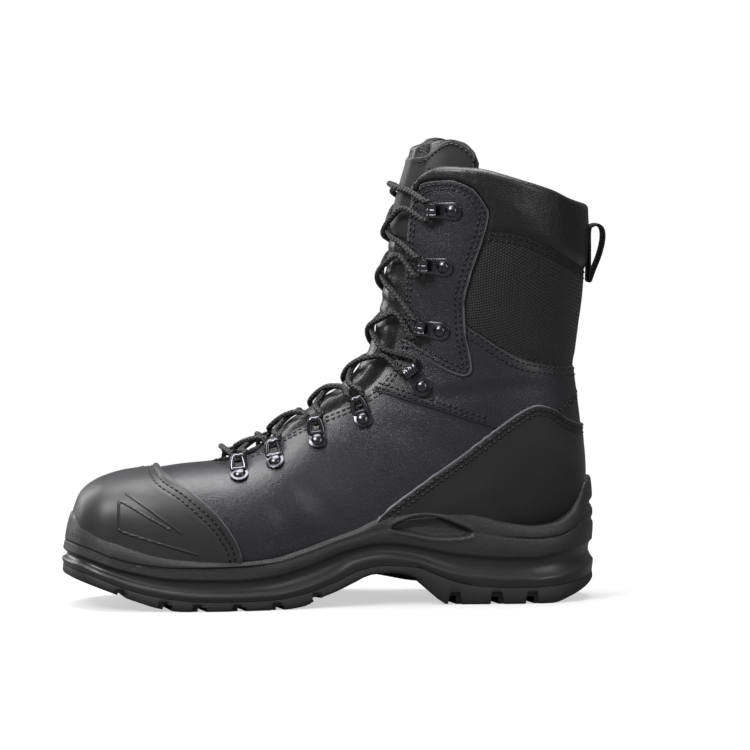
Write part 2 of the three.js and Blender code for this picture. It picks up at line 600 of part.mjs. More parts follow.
// Its top edge, seen from the side.
const TONGUE_TOP = table('at up', [
  [0.40, 1.02], [0.64, 1.025], [0.652, 1.043], [0.672, 1.06], [0.716, 1.06], [0.740, 1.050], [0.761, 1.027],
  [0.773, 1.002], [0.784, 0.97], [0.80, 0.95], [1, 0.95],
]);
const tongueAngle = (section) => {
  const half = atShare(TONGUE_SIDE, 'half', section) * TONGUE_WIDTH;
  return Math.min(half / atSection(SECTIONS, 'half', section), 1.25);
};
const UNDER_WALL = -(UPPER_WALL + 6 * SEAT_GAP);
function tongueOuter(section, share) {
  const inThroat = (Math.abs(share) * tongueAngle(section)) / throatAngle(section);
  const swell = 1 - ease((inThroat - 0.45) / 0.4);
  const started = ease((section - 8.6) / 1.6);
  return mix(UNDER_WALL, 0.4 * UPPER_WALL, swell * started);
}
function tongueInner(section, share) {
  const thickness = mix(TONGUE_THICKNESS, TONGUE_EDGE, ease(Math.abs(share)));
  return Math.min(tongueOuter(section, share), UNDER_WALL + 0.35 * TONGUE_THICKNESS) - thickness;
}
function makeTongue() {
  const line = sideOutline(TONGUE_TOP, COLLAR_HEIGHT);
  const above = sidePrism([...line, [line.at(-1)[0], 2 * COLLAR_HEIGHT], [line[0][0], 2 * COLLAR_HEIGHT]], -WIDE, WIDE);
  return crestSheet(TONGUE_FROM, LAST_SECTION, 15, 6, tongueAngle, tongueOuter, tongueInner).subtract(above);
}

function makeInsole() {
  const low = SECTIONS.slice(1, 18).map((row) => [row.baseX, row.baseZ + UPPER_WALL + SEAT_GAP + INSOLE_THICKNESS]);
  const outline = [...low, [low.at(-1)[0], -FAR], [low[0][0], -FAR]];
  return largest(lastForm(-UPPER_WALL - SEAT_GAP).intersect(sidePrism(outline, -WIDE, WIDE)));
}

// Rings and hooks: the rivet's section, how far round from the crest it lies, and its kind.
// level is 0 where it points along the section and 1 where it points level and forwards.
// drop is how many sections lower the lace crosses above it, because the leg's sections rise to the front.
const FITTINGS = table('name section angle level drop hook', [
  ['1', 8.42, 37, 0, 0, false], ['2', 9.5, 38, 0, 0, false], ['3', 10.75, 40, 0, 0, false], ['4', 12.2, 43, 0, 0.6, false],
  ['5', 15.0, 53, 0, 1.6, true], ['6', 18.15, 57, 0.8, 1.4, true], ['7', 21.35, 59, 0.9, 1.5, true], ['8', 24.0, 60, 0.9, 0, true],
]);

// The place and directions of a fitting: X towards the throat and Z away from the boot.
function fittingFrame({ section, angle, level }, side, out) {
  const turn = Math.PI + side * angle * DEGREE;
  const step = 0.02 * side;
  const up = outward(section, turn);
  const round = skin(section, turn - step).sub(skin(section, turn + step)).normalize();
  const forwards = new THREE.Vector3(-1, 0, 0).projectOnPlane(up).setZ(0).normalize();
  const ahead = round.lerp(forwards, level).projectOnPlane(up).normalize();
  const across = up.clone().cross(ahead).normalize();
  return new THREE.Matrix4().makeBasis(ahead, across, up).setPosition(offSkin(section, turn, out));
}

function plateShape(back, front, backHalf, frontHalf) {
  const corner = 0.45 * backHalf;
  return new THREE.Shape([
    new THREE.Vector2(back, -backHalf + corner),
    new THREE.Vector2(back + corner, -backHalf),
    new THREE.Vector2(front, -frontHalf),
    new THREE.Vector2(front, frontHalf),
    new THREE.Vector2(back + corner, backHalf),
    new THREE.Vector2(back, backHalf - corner),
  ]);
}
const slab = (shape, depth) => new THREE.ExtrudeGeometry(shape, { depth, bevelEnabled: false });

function rivet() {
  const radius = RIVET_DIAMETER / 2;
  const head = new THREE.CylinderGeometry(0.55 * radius, radius, 1.5 * PLATE_THICKNESS, 8);
  return solidOf(head.rotateX(Math.PI / 2).translate(0, 0, 1.5 * PLATE_THICKNESS));
}

// A closed ring on a riveted foot, tipped up so that the lace runs through it.
function ringSolidAt(frame) {
  const foot = slab(plateShape(-RING_WIDTH / 2, 0.4 * RING_REACH, RING_WIDTH / 2, 0.4 * RING_WIDTH), PLATE_THICKNESS);
  const start = 0.3 * RING_REACH;
  const length = RING_REACH - start;
  const [wide, narrow] = [0.42 * RING_WIDTH, RING_TIP_WIDTH / 2];
  const hoop = new THREE.Shape([
    new THREE.Vector2(0, -wide),
    new THREE.Vector2(length - RING_BAR, -narrow),
    new THREE.Vector2(length, -0.6 * narrow),
    new THREE.Vector2(length, 0.6 * narrow),
    new THREE.Vector2(length - RING_BAR, narrow),
    new THREE.Vector2(0, wide),
  ]);
  hoop.holes.push(
    new THREE.Path([
      new THREE.Vector2(RING_BAR, -wide + RING_BAR),
      new THREE.Vector2(length - RING_BAR, -narrow + RING_BAR),
      new THREE.Vector2(length - RING_BAR, narrow - RING_BAR),
      new THREE.Vector2(RING_BAR, wide - RING_BAR),
    ]),
  );
  const raised = slab(hoop, RING_BAR).rotateY(-28 * DEGREE).translate(start, 0, 0.2 * RING_BAR);
  return solidOf(foot).add(rivet()).add(solidOf(raised)).transform(frame.elements);
}

// An open hook on a riveted foot: the end turns up and back over the lace.
function hookSolidAt(frame) {
  const half = HOOK_WIDTH / 2;
  const foot = slab(plateShape(-0.55 * HOOK_WIDTH, 0.5 * HOOK_REACH, half, half), PLATE_THICKNESS);
  const t = PLATE_THICKNESS;
  const bend = new THREE.Shape([
    new THREE.Vector2(0.45 * HOOK_REACH, 0),
    new THREE.Vector2(HOOK_REACH - t, 0),
    new THREE.Vector2(HOOK_REACH, t),
    new THREE.Vector2(HOOK_REACH, HOOK_RISE - t),
    new THREE.Vector2(HOOK_REACH - t, HOOK_RISE),
    new THREE.Vector2(0.55 * HOOK_REACH, HOOK_RISE),
    new THREE.Vector2(0.55 * HOOK_REACH, HOOK_RISE - t),
    new THREE.Vector2(HOOK_REACH - 1.6 * t, HOOK_RISE - t),
    new THREE.Vector2(HOOK_REACH - t, HOOK_RISE - 1.6 * t),
    new THREE.Vector2(HOOK_REACH - t, 1.4 * t),
    new THREE.Vector2(HOOK_REACH - 1.4 * t, t),
    new THREE.Vector2(0.45 * HOOK_REACH, t),
  ]);
  const width = 0.8 * HOOK_WIDTH;
  const hook = slab(bend, width).rotateX(Math.PI / 2).translate(0, width / 2, 0);
  return solidOf(foot).add(rivet()).add(solidOf(hook)).transform(frame.elements);
}

// Each fitting sits on the upper or, from the second hook up, on the eyestay, and is fitted to its curve.
const ON_UPPER = lastForm(SEAT_GAP);
const ON_EYESTAY = lastForm(2 * SEAT_GAP + LEATHER);
function makeFitting(fitting, side) {
  const onStay = fitting.section > 17;
  const seat = onStay ? 2 * SEAT_GAP + LEATHER : SEAT_GAP;
  const frame = fittingFrame(fitting, side, seat);
  const solid = fitting.hook ? hookSolidAt(frame) : ringSolidAt(frame);
  return largest(solid.subtract(onStay ? ON_EYESTAY : ON_UPPER));
}

// The lace, as crossings that stop short of the rings and hooks.
const LACE_RADIUS = LACE_DIAMETER / 2;
const LACE_LIFT = CUFF_THICKNESS + 2 * SEAT_GAP + LACE_RADIUS;
// Where the lace leaves a fitting, on the way to the crest.
function laceAngle(fitting) {
  const reach = fitting.hook ? HOOK_REACH : 0.85 * RING_REACH;
  const turn = Math.PI + fitting.angle * DEGREE;
  const around = skin(fitting.section, turn).distanceTo(skin(fitting.section, turn - 0.1)) / 0.1;
  return fitting.angle * DEGREE - reach / around;
}
// What the lace keeps out of at a fitting.
function fittingRoom(fitting, side) {
  const reach = (fitting.hook ? HOOK_REACH : 0.96 * RING_REACH) + SEAT_GAP;
  const box = new THREE.BoxGeometry(2 * reach, 2 * reach, 2 * reach).applyMatrix4(fittingFrame(fitting, side, LEATHER));
  return solidOf(box);
}
function laceStrand(from, to, bow, drop = 0) {
  const steps = 4;
  const points = Array.from({ length: steps + 1 }, (_, k) => {
    const f = k / steps;
    const section = mix(from.section, to.section, ease(f) * 0.5 + f * 0.5) - drop * Math.sin(Math.PI * f);
    const turn = Math.PI + mix(from.angle, to.angle, f);
    return offSkin(section, turn, LACE_LIFT + bow * Math.sin(Math.PI * f));
  });
  const circle = new THREE.Shape(
    Array.from({ length: 6 }, (_, k) =>
      new THREE.Vector2(Math.cos((k * Math.PI) / 3), Math.sin((k * Math.PI) / 3)).multiplyScalar(LACE_RADIUS)),
  );
  return solidOf(new THREE.ExtrudeGeometry(circle, {
    steps,
    bevelEnabled: false,
    extrudePath: new THREE.CatmullRomCurve3(points),
  }));
}
// Beside a fitting two crossings end, one under the other; `way` is 1 for the one that goes up.
function laceEnd(fitting, side, way) {
  const spacing = skin(fitting.section, Math.PI).distanceTo(skin(fitting.section + way, Math.PI));
  const step = (LACE_RADIUS + 2 * SEAT_GAP) / spacing;
  return { section: fitting.section + way * step, angle: side * laceAngle(fitting) };
}

function makeCrossing(lower, upper) {
  const under = laceStrand(laceEnd(lower, -1, 1), laceEnd(upper, 1, -1), 0, lower.drop);
  const over = laceStrand(laceEnd(lower, 1, 1), laceEnd(upper, -1, -1), 0.6 * LACE_DIAMETER, lower.drop);
  const rooms = [lower, upper].flatMap((fitting) => [fittingRoom(fitting, -1), fittingRoom(fitting, 1)]);
  return largest(rooms.reduce((lace, room) => lace.subtract(room), under.add(over)));
}

// The straight bar across the toe end of the throat, between the lowest rings.
function makeBottomBar(fitting) {
  const lace = laceStrand(laceEnd(fitting, -1, -1), laceEnd(fitting, 1, -1), 0);
  return largest(lace.subtract(fittingRoom(fitting, -1)).subtract(fittingRoom(fitting, 1)));
}

// Over the top hooks the two ends cross once more and tuck in under the eyestays.
function makeTopCrossing(fitting) {
  const tucked = (side, rise) => {
    const section = fitting.section + rise;
    return { section, angle: side * (throatAngle(section) - 1.2 * LACE_RADIUS / atSection(SECTIONS, 'half', section)) };
  };
  const start = (side) => laceEnd(fitting, side, 1);
  const lace = laceStrand(start(-1), tucked(1, -0.4), 0.6 * LACE_DIAMETER, fitting.drop)
    .add(laceStrand(start(1), tucked(-1, -0.9), 0, fitting.drop));
  return largest(lace.subtract(fittingRoom(fitting, -1)).subtract(fittingRoom(fitting, 1)));
}

// A webbing loop that stands out behind the collar: its outline and its hole, seen from the side.
const LOOP_OUTLINE = table('out up', [
  [0, 0], [0.16, 0.02], [0.40, 0.24], [0.75, 0.49], [0.95, 0.69], [1, 0.84], [0.92, 0.94], [0.66, 1], [0.28, 0.99], [0, 0.95],
]);
const LOOP_HOLE = table('out up', [
  [0.16, 0.27], [0.32, 0.35], [0.60, 0.55], [0.79, 0.71], [0.83, 0.83], [0.76, 0.90], [0.60, 0.955], [0.30, 0.945], [0.16, 0.91],
]);
function makePullLoop() {
  const back = SECTIONS.at(-1).baseX + 2 * SEAT_GAP + CUFF_THICKNESS;
  const bottom = 0.72 * COLLAR_HEIGHT;
  const points = (rows) => rows.map(({ out, up }) => new THREE.Vector2(back + out * LOOP_REACH, bottom + up * LOOP_HEIGHT));
  const shape = new THREE.Shape(points(LOOP_OUTLINE));
  shape.holes.push(new THREE.Path(points(LOOP_HOLE)));
  return solidOf(slab(shape, LOOP_WIDTH).rotateX(Math.PI / 2).translate(0, LOOP_WIDTH / 2, 0));
}

// Finishes
const finish = (color, roughness, metalness = 0) => new THREE.MeshStandardMaterial({ color, roughness, metalness });
const LEATHER_FINISH = finish(0x1d1d1f, 0.45);
const CAP_FINISH = finish(0x29292b, 0.6);
const TEXTILE_FINISH = finish(0x141415, 0.85);
const RUBBER_FINISH = finish(0x1b1b1c, 0.7);
const FOAM_FINISH = finish(0x202021, 0.6);
const METAL_FINISH = finish(0x5a5a5c, 0.28, 1);
const LACE_FINISH = finish(0x101011, 0.8);

function meshOf(name, solid, material) {
  const mesh = solid.getMesh();
  const geometry = new THREE.BufferGeometry();
  geometry.setAttribute('position', new THREE.BufferAttribute(new Float32Array(mesh.vertProperties), 3));
  geometry.setIndex(new THREE.BufferAttribute(new Uint32Array(mesh.triVerts), 1));
  const made = new THREE.Mesh(geometry, material);
  made.name = name;
  return made;
}

const boot = new THREE.Group();
boot.add(
  meshOf('outsole', makeOutsole(), RUBBER_FINISH),
  meshOf('midsole', makeMidsole(), FOAM_FINISH),
  meshOf('insole', makeInsole(), TEXTILE_FINISH),
  meshOf('upper', makeUpper(), LEATHER_FINISH),
  meshOf('toe_cap', makeToeCap(), CAP_FINISH),
  meshOf('heel_counter', makeCounter(), CAP_FINISH),
  meshOf('eyestay_inner', makeEyestay(-1), LEATHER_FINISH),
  meshOf('eyestay_outer', makeEyestay(1), LEATHER_FINISH),
  meshOf('collar_cuff', makeCuff(), LEATHER_FINISH),
  meshOf('tongue', makeTongue(), LEATHER_FINISH),
  meshOf('pull_loop', makePullLoop(), TEXTILE_FINISH),
);
FITTINGS.forEach((fitting) => {
  const kind = fitting.hook ? 'lace_hook' : 'lace_ring';
  boot.add(
    meshOf(`${kind}_${fitting.name}_inner`, makeFitting(fitting, -1), METAL_FINISH),
    meshOf(`${kind}_${fitting.name}_outer`, makeFitting(fitting, 1), METAL_FINISH),
  );
});
FITTINGS.slice(1).forEach((fitting, k) => {
  boot.add(meshOf(`lace_crossing_${k + 1}`, makeCrossing(FITTINGS[k], fitting), LACE_FINISH));
});
boot.add(meshOf('lace_bottom_bar', makeBottomBar(FITTINGS[0]), LACE_FINISH));
boot.add(meshOf('lace_top_crossing', makeTopCrossing(FITTINGS.at(-1)), LACE_FINISH));

export default boot;
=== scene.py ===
"""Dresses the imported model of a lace-up boot: leather, textile, rubber, fittings, lace and stitching."""

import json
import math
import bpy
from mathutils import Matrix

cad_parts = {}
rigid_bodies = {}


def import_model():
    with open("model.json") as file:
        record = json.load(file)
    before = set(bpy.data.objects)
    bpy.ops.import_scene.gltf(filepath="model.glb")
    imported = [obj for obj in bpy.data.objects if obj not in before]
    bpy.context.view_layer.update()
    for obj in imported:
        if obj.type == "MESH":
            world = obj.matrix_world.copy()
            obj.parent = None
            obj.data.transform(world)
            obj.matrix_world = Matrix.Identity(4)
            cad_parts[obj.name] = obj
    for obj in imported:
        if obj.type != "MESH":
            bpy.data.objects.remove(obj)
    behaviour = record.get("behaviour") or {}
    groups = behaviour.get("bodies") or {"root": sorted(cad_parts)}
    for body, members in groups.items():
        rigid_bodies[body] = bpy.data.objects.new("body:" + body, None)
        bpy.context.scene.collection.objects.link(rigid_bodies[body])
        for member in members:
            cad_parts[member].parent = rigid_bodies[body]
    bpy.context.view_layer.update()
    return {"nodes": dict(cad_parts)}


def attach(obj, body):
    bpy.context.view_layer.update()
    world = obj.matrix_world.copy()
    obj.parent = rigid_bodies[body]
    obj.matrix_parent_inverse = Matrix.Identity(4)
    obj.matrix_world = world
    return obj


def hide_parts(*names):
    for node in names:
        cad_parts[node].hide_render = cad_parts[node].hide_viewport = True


bl_info = {
    "name": "Lace-up Safety Boot",
    "version": (1, 0, 0),
    "blender": (4, 5, 0),
    "location": "View3D > Sidebar > Boot",
    "description": "Dresses the packed model of a lace-up safety boot",
    "category": "Object",
}

import bpy
import numpy as np
from bpy.props import FloatProperty, PointerProperty
from mathutils import Matrix, Vector
from mathutils.bvhtree import BVHTree

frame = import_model()
MM = 0.001  # the tables and curves below are in millimetres

# Sizes of the model, as the frame has them
SOLE_LENGTH, BALL_WIDTH, HEEL_WIDTH, HEEL_CENTRE = 310.0, 112.0, 78.0, 44.0
RIM_HEIGHT, SIDE_RELIEF, RIM_LEAN, TOE_LEAN = 47.0, 3.0, 2.6, 3.2
LUG_DEPTH, LUG_GAP, CHANNEL_WIDTH, CENTRE_LUG_WIDTH, LUG_SKEW = 5.0, 6.0, 4.0, 27.0, 12.0
HEEL_SEAT, INSTEP_HEIGHT, COLLAR_HEIGHT, COLLAR_WIDTH = 31.0, 124.0, 252.0, 93.0
UPPER_WALL, THROAT_WIDTH, TONGUE_WIDTH, LEATHER = 2.8, 44.0, 100.0, 1.5
RING_REACH, HOOK_REACH, LOOP_REACH, LOOP_HEIGHT = 12.5, 14.0, 10.0, 36.0
SEAT_GAP = 0.3
TOE = HEEL_CENTRE - SOLE_LENGTH
DEGREE = math.pi / 180


def table(columns, rows):
    """Named columns, and a row for each section."""
    return {name: np.array([row[i] for row in rows], float) for i, name in enumerate(columns.split())}


# The upper's outer form, section by section, as shares of the sizes above
COLUMNS = "base_at base_up crest_at crest_up half base_side crest_side widest low high"
FOOT = table(COLUMNS, [
    [0.018, 1.19, 0.018, 0.32, 0.027, -0.080, -0.080, 0.45, 2.2, 2.2],
    [0.021, 1.06, 0.022, 0.383, 0.094, -0.080, -0.080, 0.45, 2.4, 2.2],
    [0.028, 0.95, 0.029, 0.452, 0.156, -0.080, -0.080, 0.45, 2.7, 2.3],
    [0.042, 0.82, 0.042, 0.520, 0.223, -0.076, -0.078, 0.42, 3.0, 2.4],
    [0.068, 0.71, 0.069, 0.569, 0.286, -0.071, -0.075, 0.40, 3.4, 2.5],
    [0.106, 0.61, 0.110, 0.603, 0.335, -0.049, -0.066, 0.38, 3.8, 2.5],
    [0.155, 0.55, 0.158, 0.621, 0.384, -0.036, -0.058, 0.36, 4.0, 2.45],
    [0.213, 0.50, 0.223, 0.645, 0.420, -0.022, -0.050, 0.34, 4.0, 2.35],
    [0.281, 0.48, 0.297, 0.665, 0.445, -0.004, -0.045, 0.33, 4.0, 2.2],
    [0.355, 0.48, 0.358, 0.718, 0.446, 0.015, -0.040, 0.32, 4.0, 2.05],
    [0.426, 0.55, 0.419, 0.819, 0.418, 0.036, -0.036, 0.30, 4.0, 1.95],
    [0.516, 0.69, 0.477, 0.919, 0.370, 0.045, -0.036, 0.28, 3.8, 1.9],
    [0.613, 0.84, 0.526, 1.004, 0.330, 0.036, -0.032, 0.28, 3.6, 1.9],
    [0.710, 0.94, 0.561, 1.097, 0.312, 0.022, -0.027, 0.30, 3.4, 1.9],
])
ANKLE = table(COLUMNS, [
    [0.800, 0.98, 0.581, 0.585, 0.442, 0.010, -0.026, 0.32, 3.2, 1.92],
    [0.871, 1.03, 0.592, 0.625, 0.448, 0.005, -0.019, 0.36, 2.9, 1.95],
    [0.926, 1.18, 0.600, 0.663, 0.454, 0.003, -0.013, 0.40, 2.6, 2.0],
    [0.960, 1.48, 0.605, 0.700, 0.465, 0, -0.006, 0.43, 2.4, 2.05],
])
SHAFT = table(COLUMNS, [
    [0.974, 0.242, 0.609, 0.736, 0.397, 0, 0, 0.46, 2.3, 2.1],
    [0.975, 0.317, 0.613, 0.772, 0.404, 0, 0, 0.48, 2.2, 2.1],
    [0.972, 0.393, 0.617, 0.808, 0.414, 0, 0, 0.49, 2.15, 2.15],
    [0.965, 0.466, 0.621, 0.843, 0.425, 0, 0, 0.50, 2.1, 2.2],
    [0.958, 0.540, 0.625, 0.881, 0.437, 0, 0, 0.50, 2.1, 2.2],
    [0.964, 0.615, 0.630, 0.921, 0.452, 0, 0, 0.50, 2.1, 2.2],
    [0.973, 0.702, 0.634, 0.960, 0.468, 0, 0, 0.50, 2.1, 2.2],
    [0.977, 0.794, 0.639, 1.000, 0.484, 0, 0, 0.50, 2.1, 2.2],
    [0.977, 0.881, 0.645, 1.040, 0.495, 0, 0, 0.50, 2.1, 2.2],
    [0.977, 0.960, 0.652, 1.080, 0.500, 0, 0, 0.50, 2.1, 2.2],
])


def sized(rows, base_height, crest_height, width):
    scale = {"base_up": base_height, "crest_up": crest_height, "half": width, "base_side": width,
             "crest_side": width}
    out = {name: rows[name] * scale.get(name, 1) for name in rows}
    for name in ("base_at", "crest_at"):
        out[name] = TOE + rows[name] * SOLE_LENGTH
    return out


PARTS = [
    sized(FOOT, HEEL_SEAT, INSTEP_HEIGHT, BALL_WIDTH),
    sized(ANKLE, HEEL_SEAT, COLLAR_HEIGHT, HEEL_WIDTH),
    sized(SHAFT, COLLAR_HEIGHT, COLLAR_HEIGHT, COLLAR_WIDTH),
]
SECTIONS = {name: np.concatenate([part[name] for part in PARTS]) for name in COLUMNS.split()}
LAST = len(SECTIONS["half"]) - 1


def at_section(name, section):
    """A smooth curve through one column of the sections."""
    rows = SECTIONS[name]
    section = np.clip(section, 0, LAST)
    i = np.clip(np.floor(section).astype(int), 0, LAST - 1)
    f = section - i
    a, b, c, d = (rows[np.clip(i + k, 0, LAST)] for k in (-1, 0, 1, 2))
    return b + f / 2 * (c - a + f * (2 * a - 5 * b + 4 * c - d + f * (3 * (b - c) + d - a)))


def along(rows, name, at):
    """A curve through one column against the column at, with no overshoot between rows."""
    x, y = rows["at"], rows[name]
    width = np.diff(x)
    slope = np.diff(y) / width
    product = slope[:-1] * slope[1:]
    total = slope[:-1] + slope[1:]
    inner = np.where(product > 0, 2 * product / np.where(product > 0, total, 1), 0)
    tangent = np.concatenate([slope[:1], inner, slope[-1:]])
    at = np.clip(at, x[0], x[-1])
    k = np.clip(np.searchsorted(x, at, side="right") - 1, 0, len(width) - 1)
    f = (at - x[k]) / width[k]
    line = y[k] + (y[k + 1] - y[k]) * f * f * (3 - 2 * f)
    return line + f * (1 - f) * width[k] * ((1 - f) * tangent[k] - f * tangent[k + 1])


def ease(value):
    f = np.clip(value, 0, 1)
    return f * f * (3 - 2 * f)


def blend(a, b, f):
    return a + (b - a) * f


def hill(value, at, width):
    """One at a place, falling off to nothing on both sides."""
    return np.exp(-((value - at) / width) ** 2)


def skin(section, turn):
    """Points of the upper's form. turn is 0 at the base and half a circle at the crest, inner side first."""
    c, g = np.cos(turn), np.sin(turn)
    power = np.where(c >= 0, at_section("low", section), at_section("high", section))
    reach = (np.abs(c) ** power + np.abs(g) ** power) ** (-1 / power)
    widest = at_section("widest", section)
    up = np.where(c >= 0, widest * (1 - c * reach), widest - (1 - widest) * c * reach)

    def between(a, b):
        return at_section(a, section) + (at_section(b, section) - at_section(a, section)) * up

    x = between("base_at", "crest_at")
    y = between("base_side", "crest_side") - at_section("half", section) * g * reach
    return np.stack([x, y, between("base_up", "crest_up")], -1)


def unit(vectors):
    return vectors / np.maximum(np.linalg.norm(vectors, axis=-1, keepdims=True), 1e-9)


def outward(section, turn):
    low, high = np.clip(section - 0.02, 0, LAST), np.clip(section + 0.02, 0, LAST)
    lengthways = skin(high, turn) - skin(low, turn)
    around = skin(section, turn + 0.01) - skin(section, turn - 0.01)
    return unit(np.cross(lengthways, around))


def off_skin(section, turn, out):
    out = np.asarray(out, float)
    return skin(section, turn) + outward(section, turn) * out[..., None]


def step_lengths(section, turn):
    """How many millimetres one section and one radian are, there."""
    low, high = np.clip(section - 0.05, 0, LAST), np.clip(section + 0.05, 0, LAST)
    along_s = np.linalg.norm(skin(high, turn) - skin(low, turn), axis=-1) / (high - low)
    along_t = np.linalg.norm(skin(section, turn + 0.02) - skin(section, turn - 0.02), axis=-1) / 0.04
    return np.maximum(along_s, 1), np.maximum(along_t, 1)


# Edges seen from the side, as shares of the sole's length and of a height
def side_line(rows, height):
    return np.stack([TOE + rows["at"] * SOLE_LENGTH, rows["up"] * height], -1)


def smooth_line(points, pieces=8, closed=False):
    """A dense smooth line through a few points."""
    p = np.asarray(points, float)
    ends = (p[-1], p[0], p[1]) if closed else (2 * p[0] - p[1], 2 * p[-1] - p[-2])
    full = np.vstack([[ends[0]], p, [ends[1]], [ends[2]]]) if closed else np.vstack([[ends[0]], p, [ends[1]]])
    f = np.linspace(0, 1, pieces, endpoint=False)[:, None]
    runs = []
    for i in range(1, len(full) - 2):
        a, b, c, d = full[i - 1:i + 3]
        runs.append(b + f / 2 * (c - a + f * (2 * a - 5 * b + 4 * c - d + f * (3 * (b - c) + d - a))))
    return np.vstack(runs + ([] if closed else [[p[-1]]]))


def edge_line(rows, height, pieces=8, closed=False):
    return smooth_line(side_line(rows, height), pieces, closed)


def line_distance(points, line, closed=False):
    """Distance in the side view from points to a line, and the sign of the side they lie on."""
    a = line if closed else line[:-1]
    b = np.roll(line, -1, axis=0) if closed else line[1:]
    flat = points.reshape(-1, 2)
    best = np.full(len(flat), np.inf)
    sign = np.ones(len(flat))
    for p, q in zip(a, b):
        d = q - p
        f = np.clip(((flat - p) @ d) / max(d @ d, 1e-9), 0, 1)
        gap = flat - (p + f[:, None] * d)
        distance = np.hypot(gap[:, 0], gap[:, 1])
        cross = d[0] * (flat[:, 1] - p[1]) - d[1] * (flat[:, 0] - p[0])
        nearer = distance < best - 1e-9
        best = np.where(nearer, distance, best)
        sign = np.where(nearer, np.where(cross >= 0, 1.0, -1.0), sign)
    if closed:
        inside = np.zeros(len(flat), bool)
        for p, q in zip(a, b):
            crosses = (p[1] > flat[:, 1]) != (q[1] > flat[:, 1])
            with np.errstate(divide="ignore", invalid="ignore"):
                at = (q[0] - p[0]) * (flat[:, 1] - p[1]) / (q[1] - p[1]) + p[0]
            inside ^= crosses & (flat[:, 0] < at)
        sign = np.where(inside, 1.0, -1.0)
    return (best * sign).reshape(points.shape[:-1])


COLLAR_LINE = table("at up", [
    [0.60, 0.90], [0.632, 0.925], [0.655, 0.962], [0.672, 0.988], [0.70, 0.999], [0.765, 0.993],
    [0.84, 0.968], [0.90, 0.945], [0.95, 0.919], [1.06, 0.885],
])
THROAT = table("at half", [
    [7.75, 0.03], [7.95, 0.16], [8.3, 0.24], [9.5, 0.31], [11.5, 0.38], [14, 0.43], [20, 0.46], [27, 0.52],
])
COUNTER_EDGE = table("at up", [
    [0.56, 0.15], [0.583, 0.204], [0.663, 0.278], [0.729, 0.335], [0.798, 0.399], [0.835, 0.432],
    [0.859, 0.448], [0.876, 0.453], [0.892, 0.449], [0.908, 0.442], [0.937, 0.417], [0.985, 0.397],
    [1.06, 0.39],
])
EYESTAY = table("at up", [
    [0.50, 0.593], [0.63, 0.590], [0.682, 0.552], [0.723, 0.527], [0.742, 0.523], [0.753, 0.535],
    [0.751, 0.562], [0.745, 0.596], [0.741, 0.629], [0.739, 0.698], [0.745, 0.732], [0.752, 0.766],
    [0.770, 0.834], [0.780, 0.888], [0.774, 0.911], [0.752, 0.947], [0.723, 0.964], [0.702, 0.966],
    [0.668, 0.958], [0.645, 0.93], [0.50, 0.92],
])
CUFF_EDGE = table("at up", [
    [0.50, 0.90], [0.68, 0.88], [0.774, 0.854], [0.829, 0.846], [0.886, 0.821], [0.927, 0.792],
    [0.985, 0.753], [1.06, 0.71],
])
TONGUE_TOP = table("at up", [
    [0.40, 1.02], [0.64, 1.025], [0.652, 1.045], [0.660, 1.055], [0.672, 1.06], [0.709, 1.06], [0.724, 1.056],
    [0.737, 1.045], [0.750, 1.030], [0.759, 1.005], [0.768, 0.975], [0.78, 0.95], [1, 0.95],
])
TEXTILE_EDGE = table("at up", [
    [0.70, 0.70], [0.742, 0.640], [0.775, 0.612], [0.812, 0.581], [0.850, 0.557], [0.889, 0.548],
    [0.964, 0.536], [1.06, 0.53],
])
VAMP_SEAM = table("at up", [
    [0.50, 0.512], [0.556, 0.494], [0.598, 0.479], [0.646, 0.460], [0.714, 0.434], [0.757, 0.416],
    [0.798, 0.399], [0.84, 0.36], [0.88, 0.30],
])
FACING_EDGE = table("at up", [
    [0.60, 0.99], [0.6445, 1.0159], [0.665, 1.036], [0.687, 1.052], [0.708, 1.058], [0.724, 1.053],
    [0.740, 1.040], [0.7535, 1.022], [0.762, 0.995], [0.775, 0.95],
])
TONGUE_SIDE = table("at half", [
    [8.1, 0.16], [9, 0.24], [12, 0.32], [16, 0.40], [20, 0.48], [23, 0.56], [27, 0.58],
])


def throat_angle(section):
    half = along(THROAT, "half", section) * THROAT_WIDTH
    angle = np.arcsin(np.clip(half / at_section("half", section), 0, 0.97))
    return np.where(section < THROAT["at"][0], 0, angle)


def end_section(turn_of, line, low, high):
    """The section at which columns of the form meet a line of the side view."""
    a, b = np.full_like(low, 0) + low, np.full_like(low, 0) + high
    for _ in range(28):
        middle = (a + b) / 2
        point = skin(middle, turn_of(middle))
        above = point[..., 2] > np.interp(point[..., 0], line[:, 0], line[:, 1])
        a, b = np.where(above, a, middle), np.where(above, middle, b)
    return (a + b) / 2


# The sole: its outline from above, and the lines along its side
TOE_TIP_SIDE = -0.09
SOLE_FRONT = table("inner_at inner outer_at outer", [
    [0.011, 0.241, 0.008, 0.036],
    [0.029, 0.326, 0.029, 0.156],
    [0.058, 0.388, 0.065, 0.263],
    [0.106, 0.431, 0.116, 0.348],
    [0.174, 0.470, 0.181, 0.419],
    [0.271, 0.496, 0.271, 0.479],
    [0.361, 0.473, 0.361, 0.507],
    [0.445, 0.415, 0.445, 0.498],
    [0.532, 0.360, 0.532, 0.457],
])
SOLE_BACK = table("inner_at inner outer_at outer", [
    [0.629, 0.481, 0.629, 0.582],
    [0.726, 0.481, 0.726, 0.533],
    [0.813, 0.500, 0.813, 0.510],
    [0.881, 0.495, 0.881, 0.482],
    [0.932, 0.431, 0.932, 0.420],
    [0.968, 0.314, 0.968, 0.308],
    [0.989, 0.173, 0.989, 0.167],
])
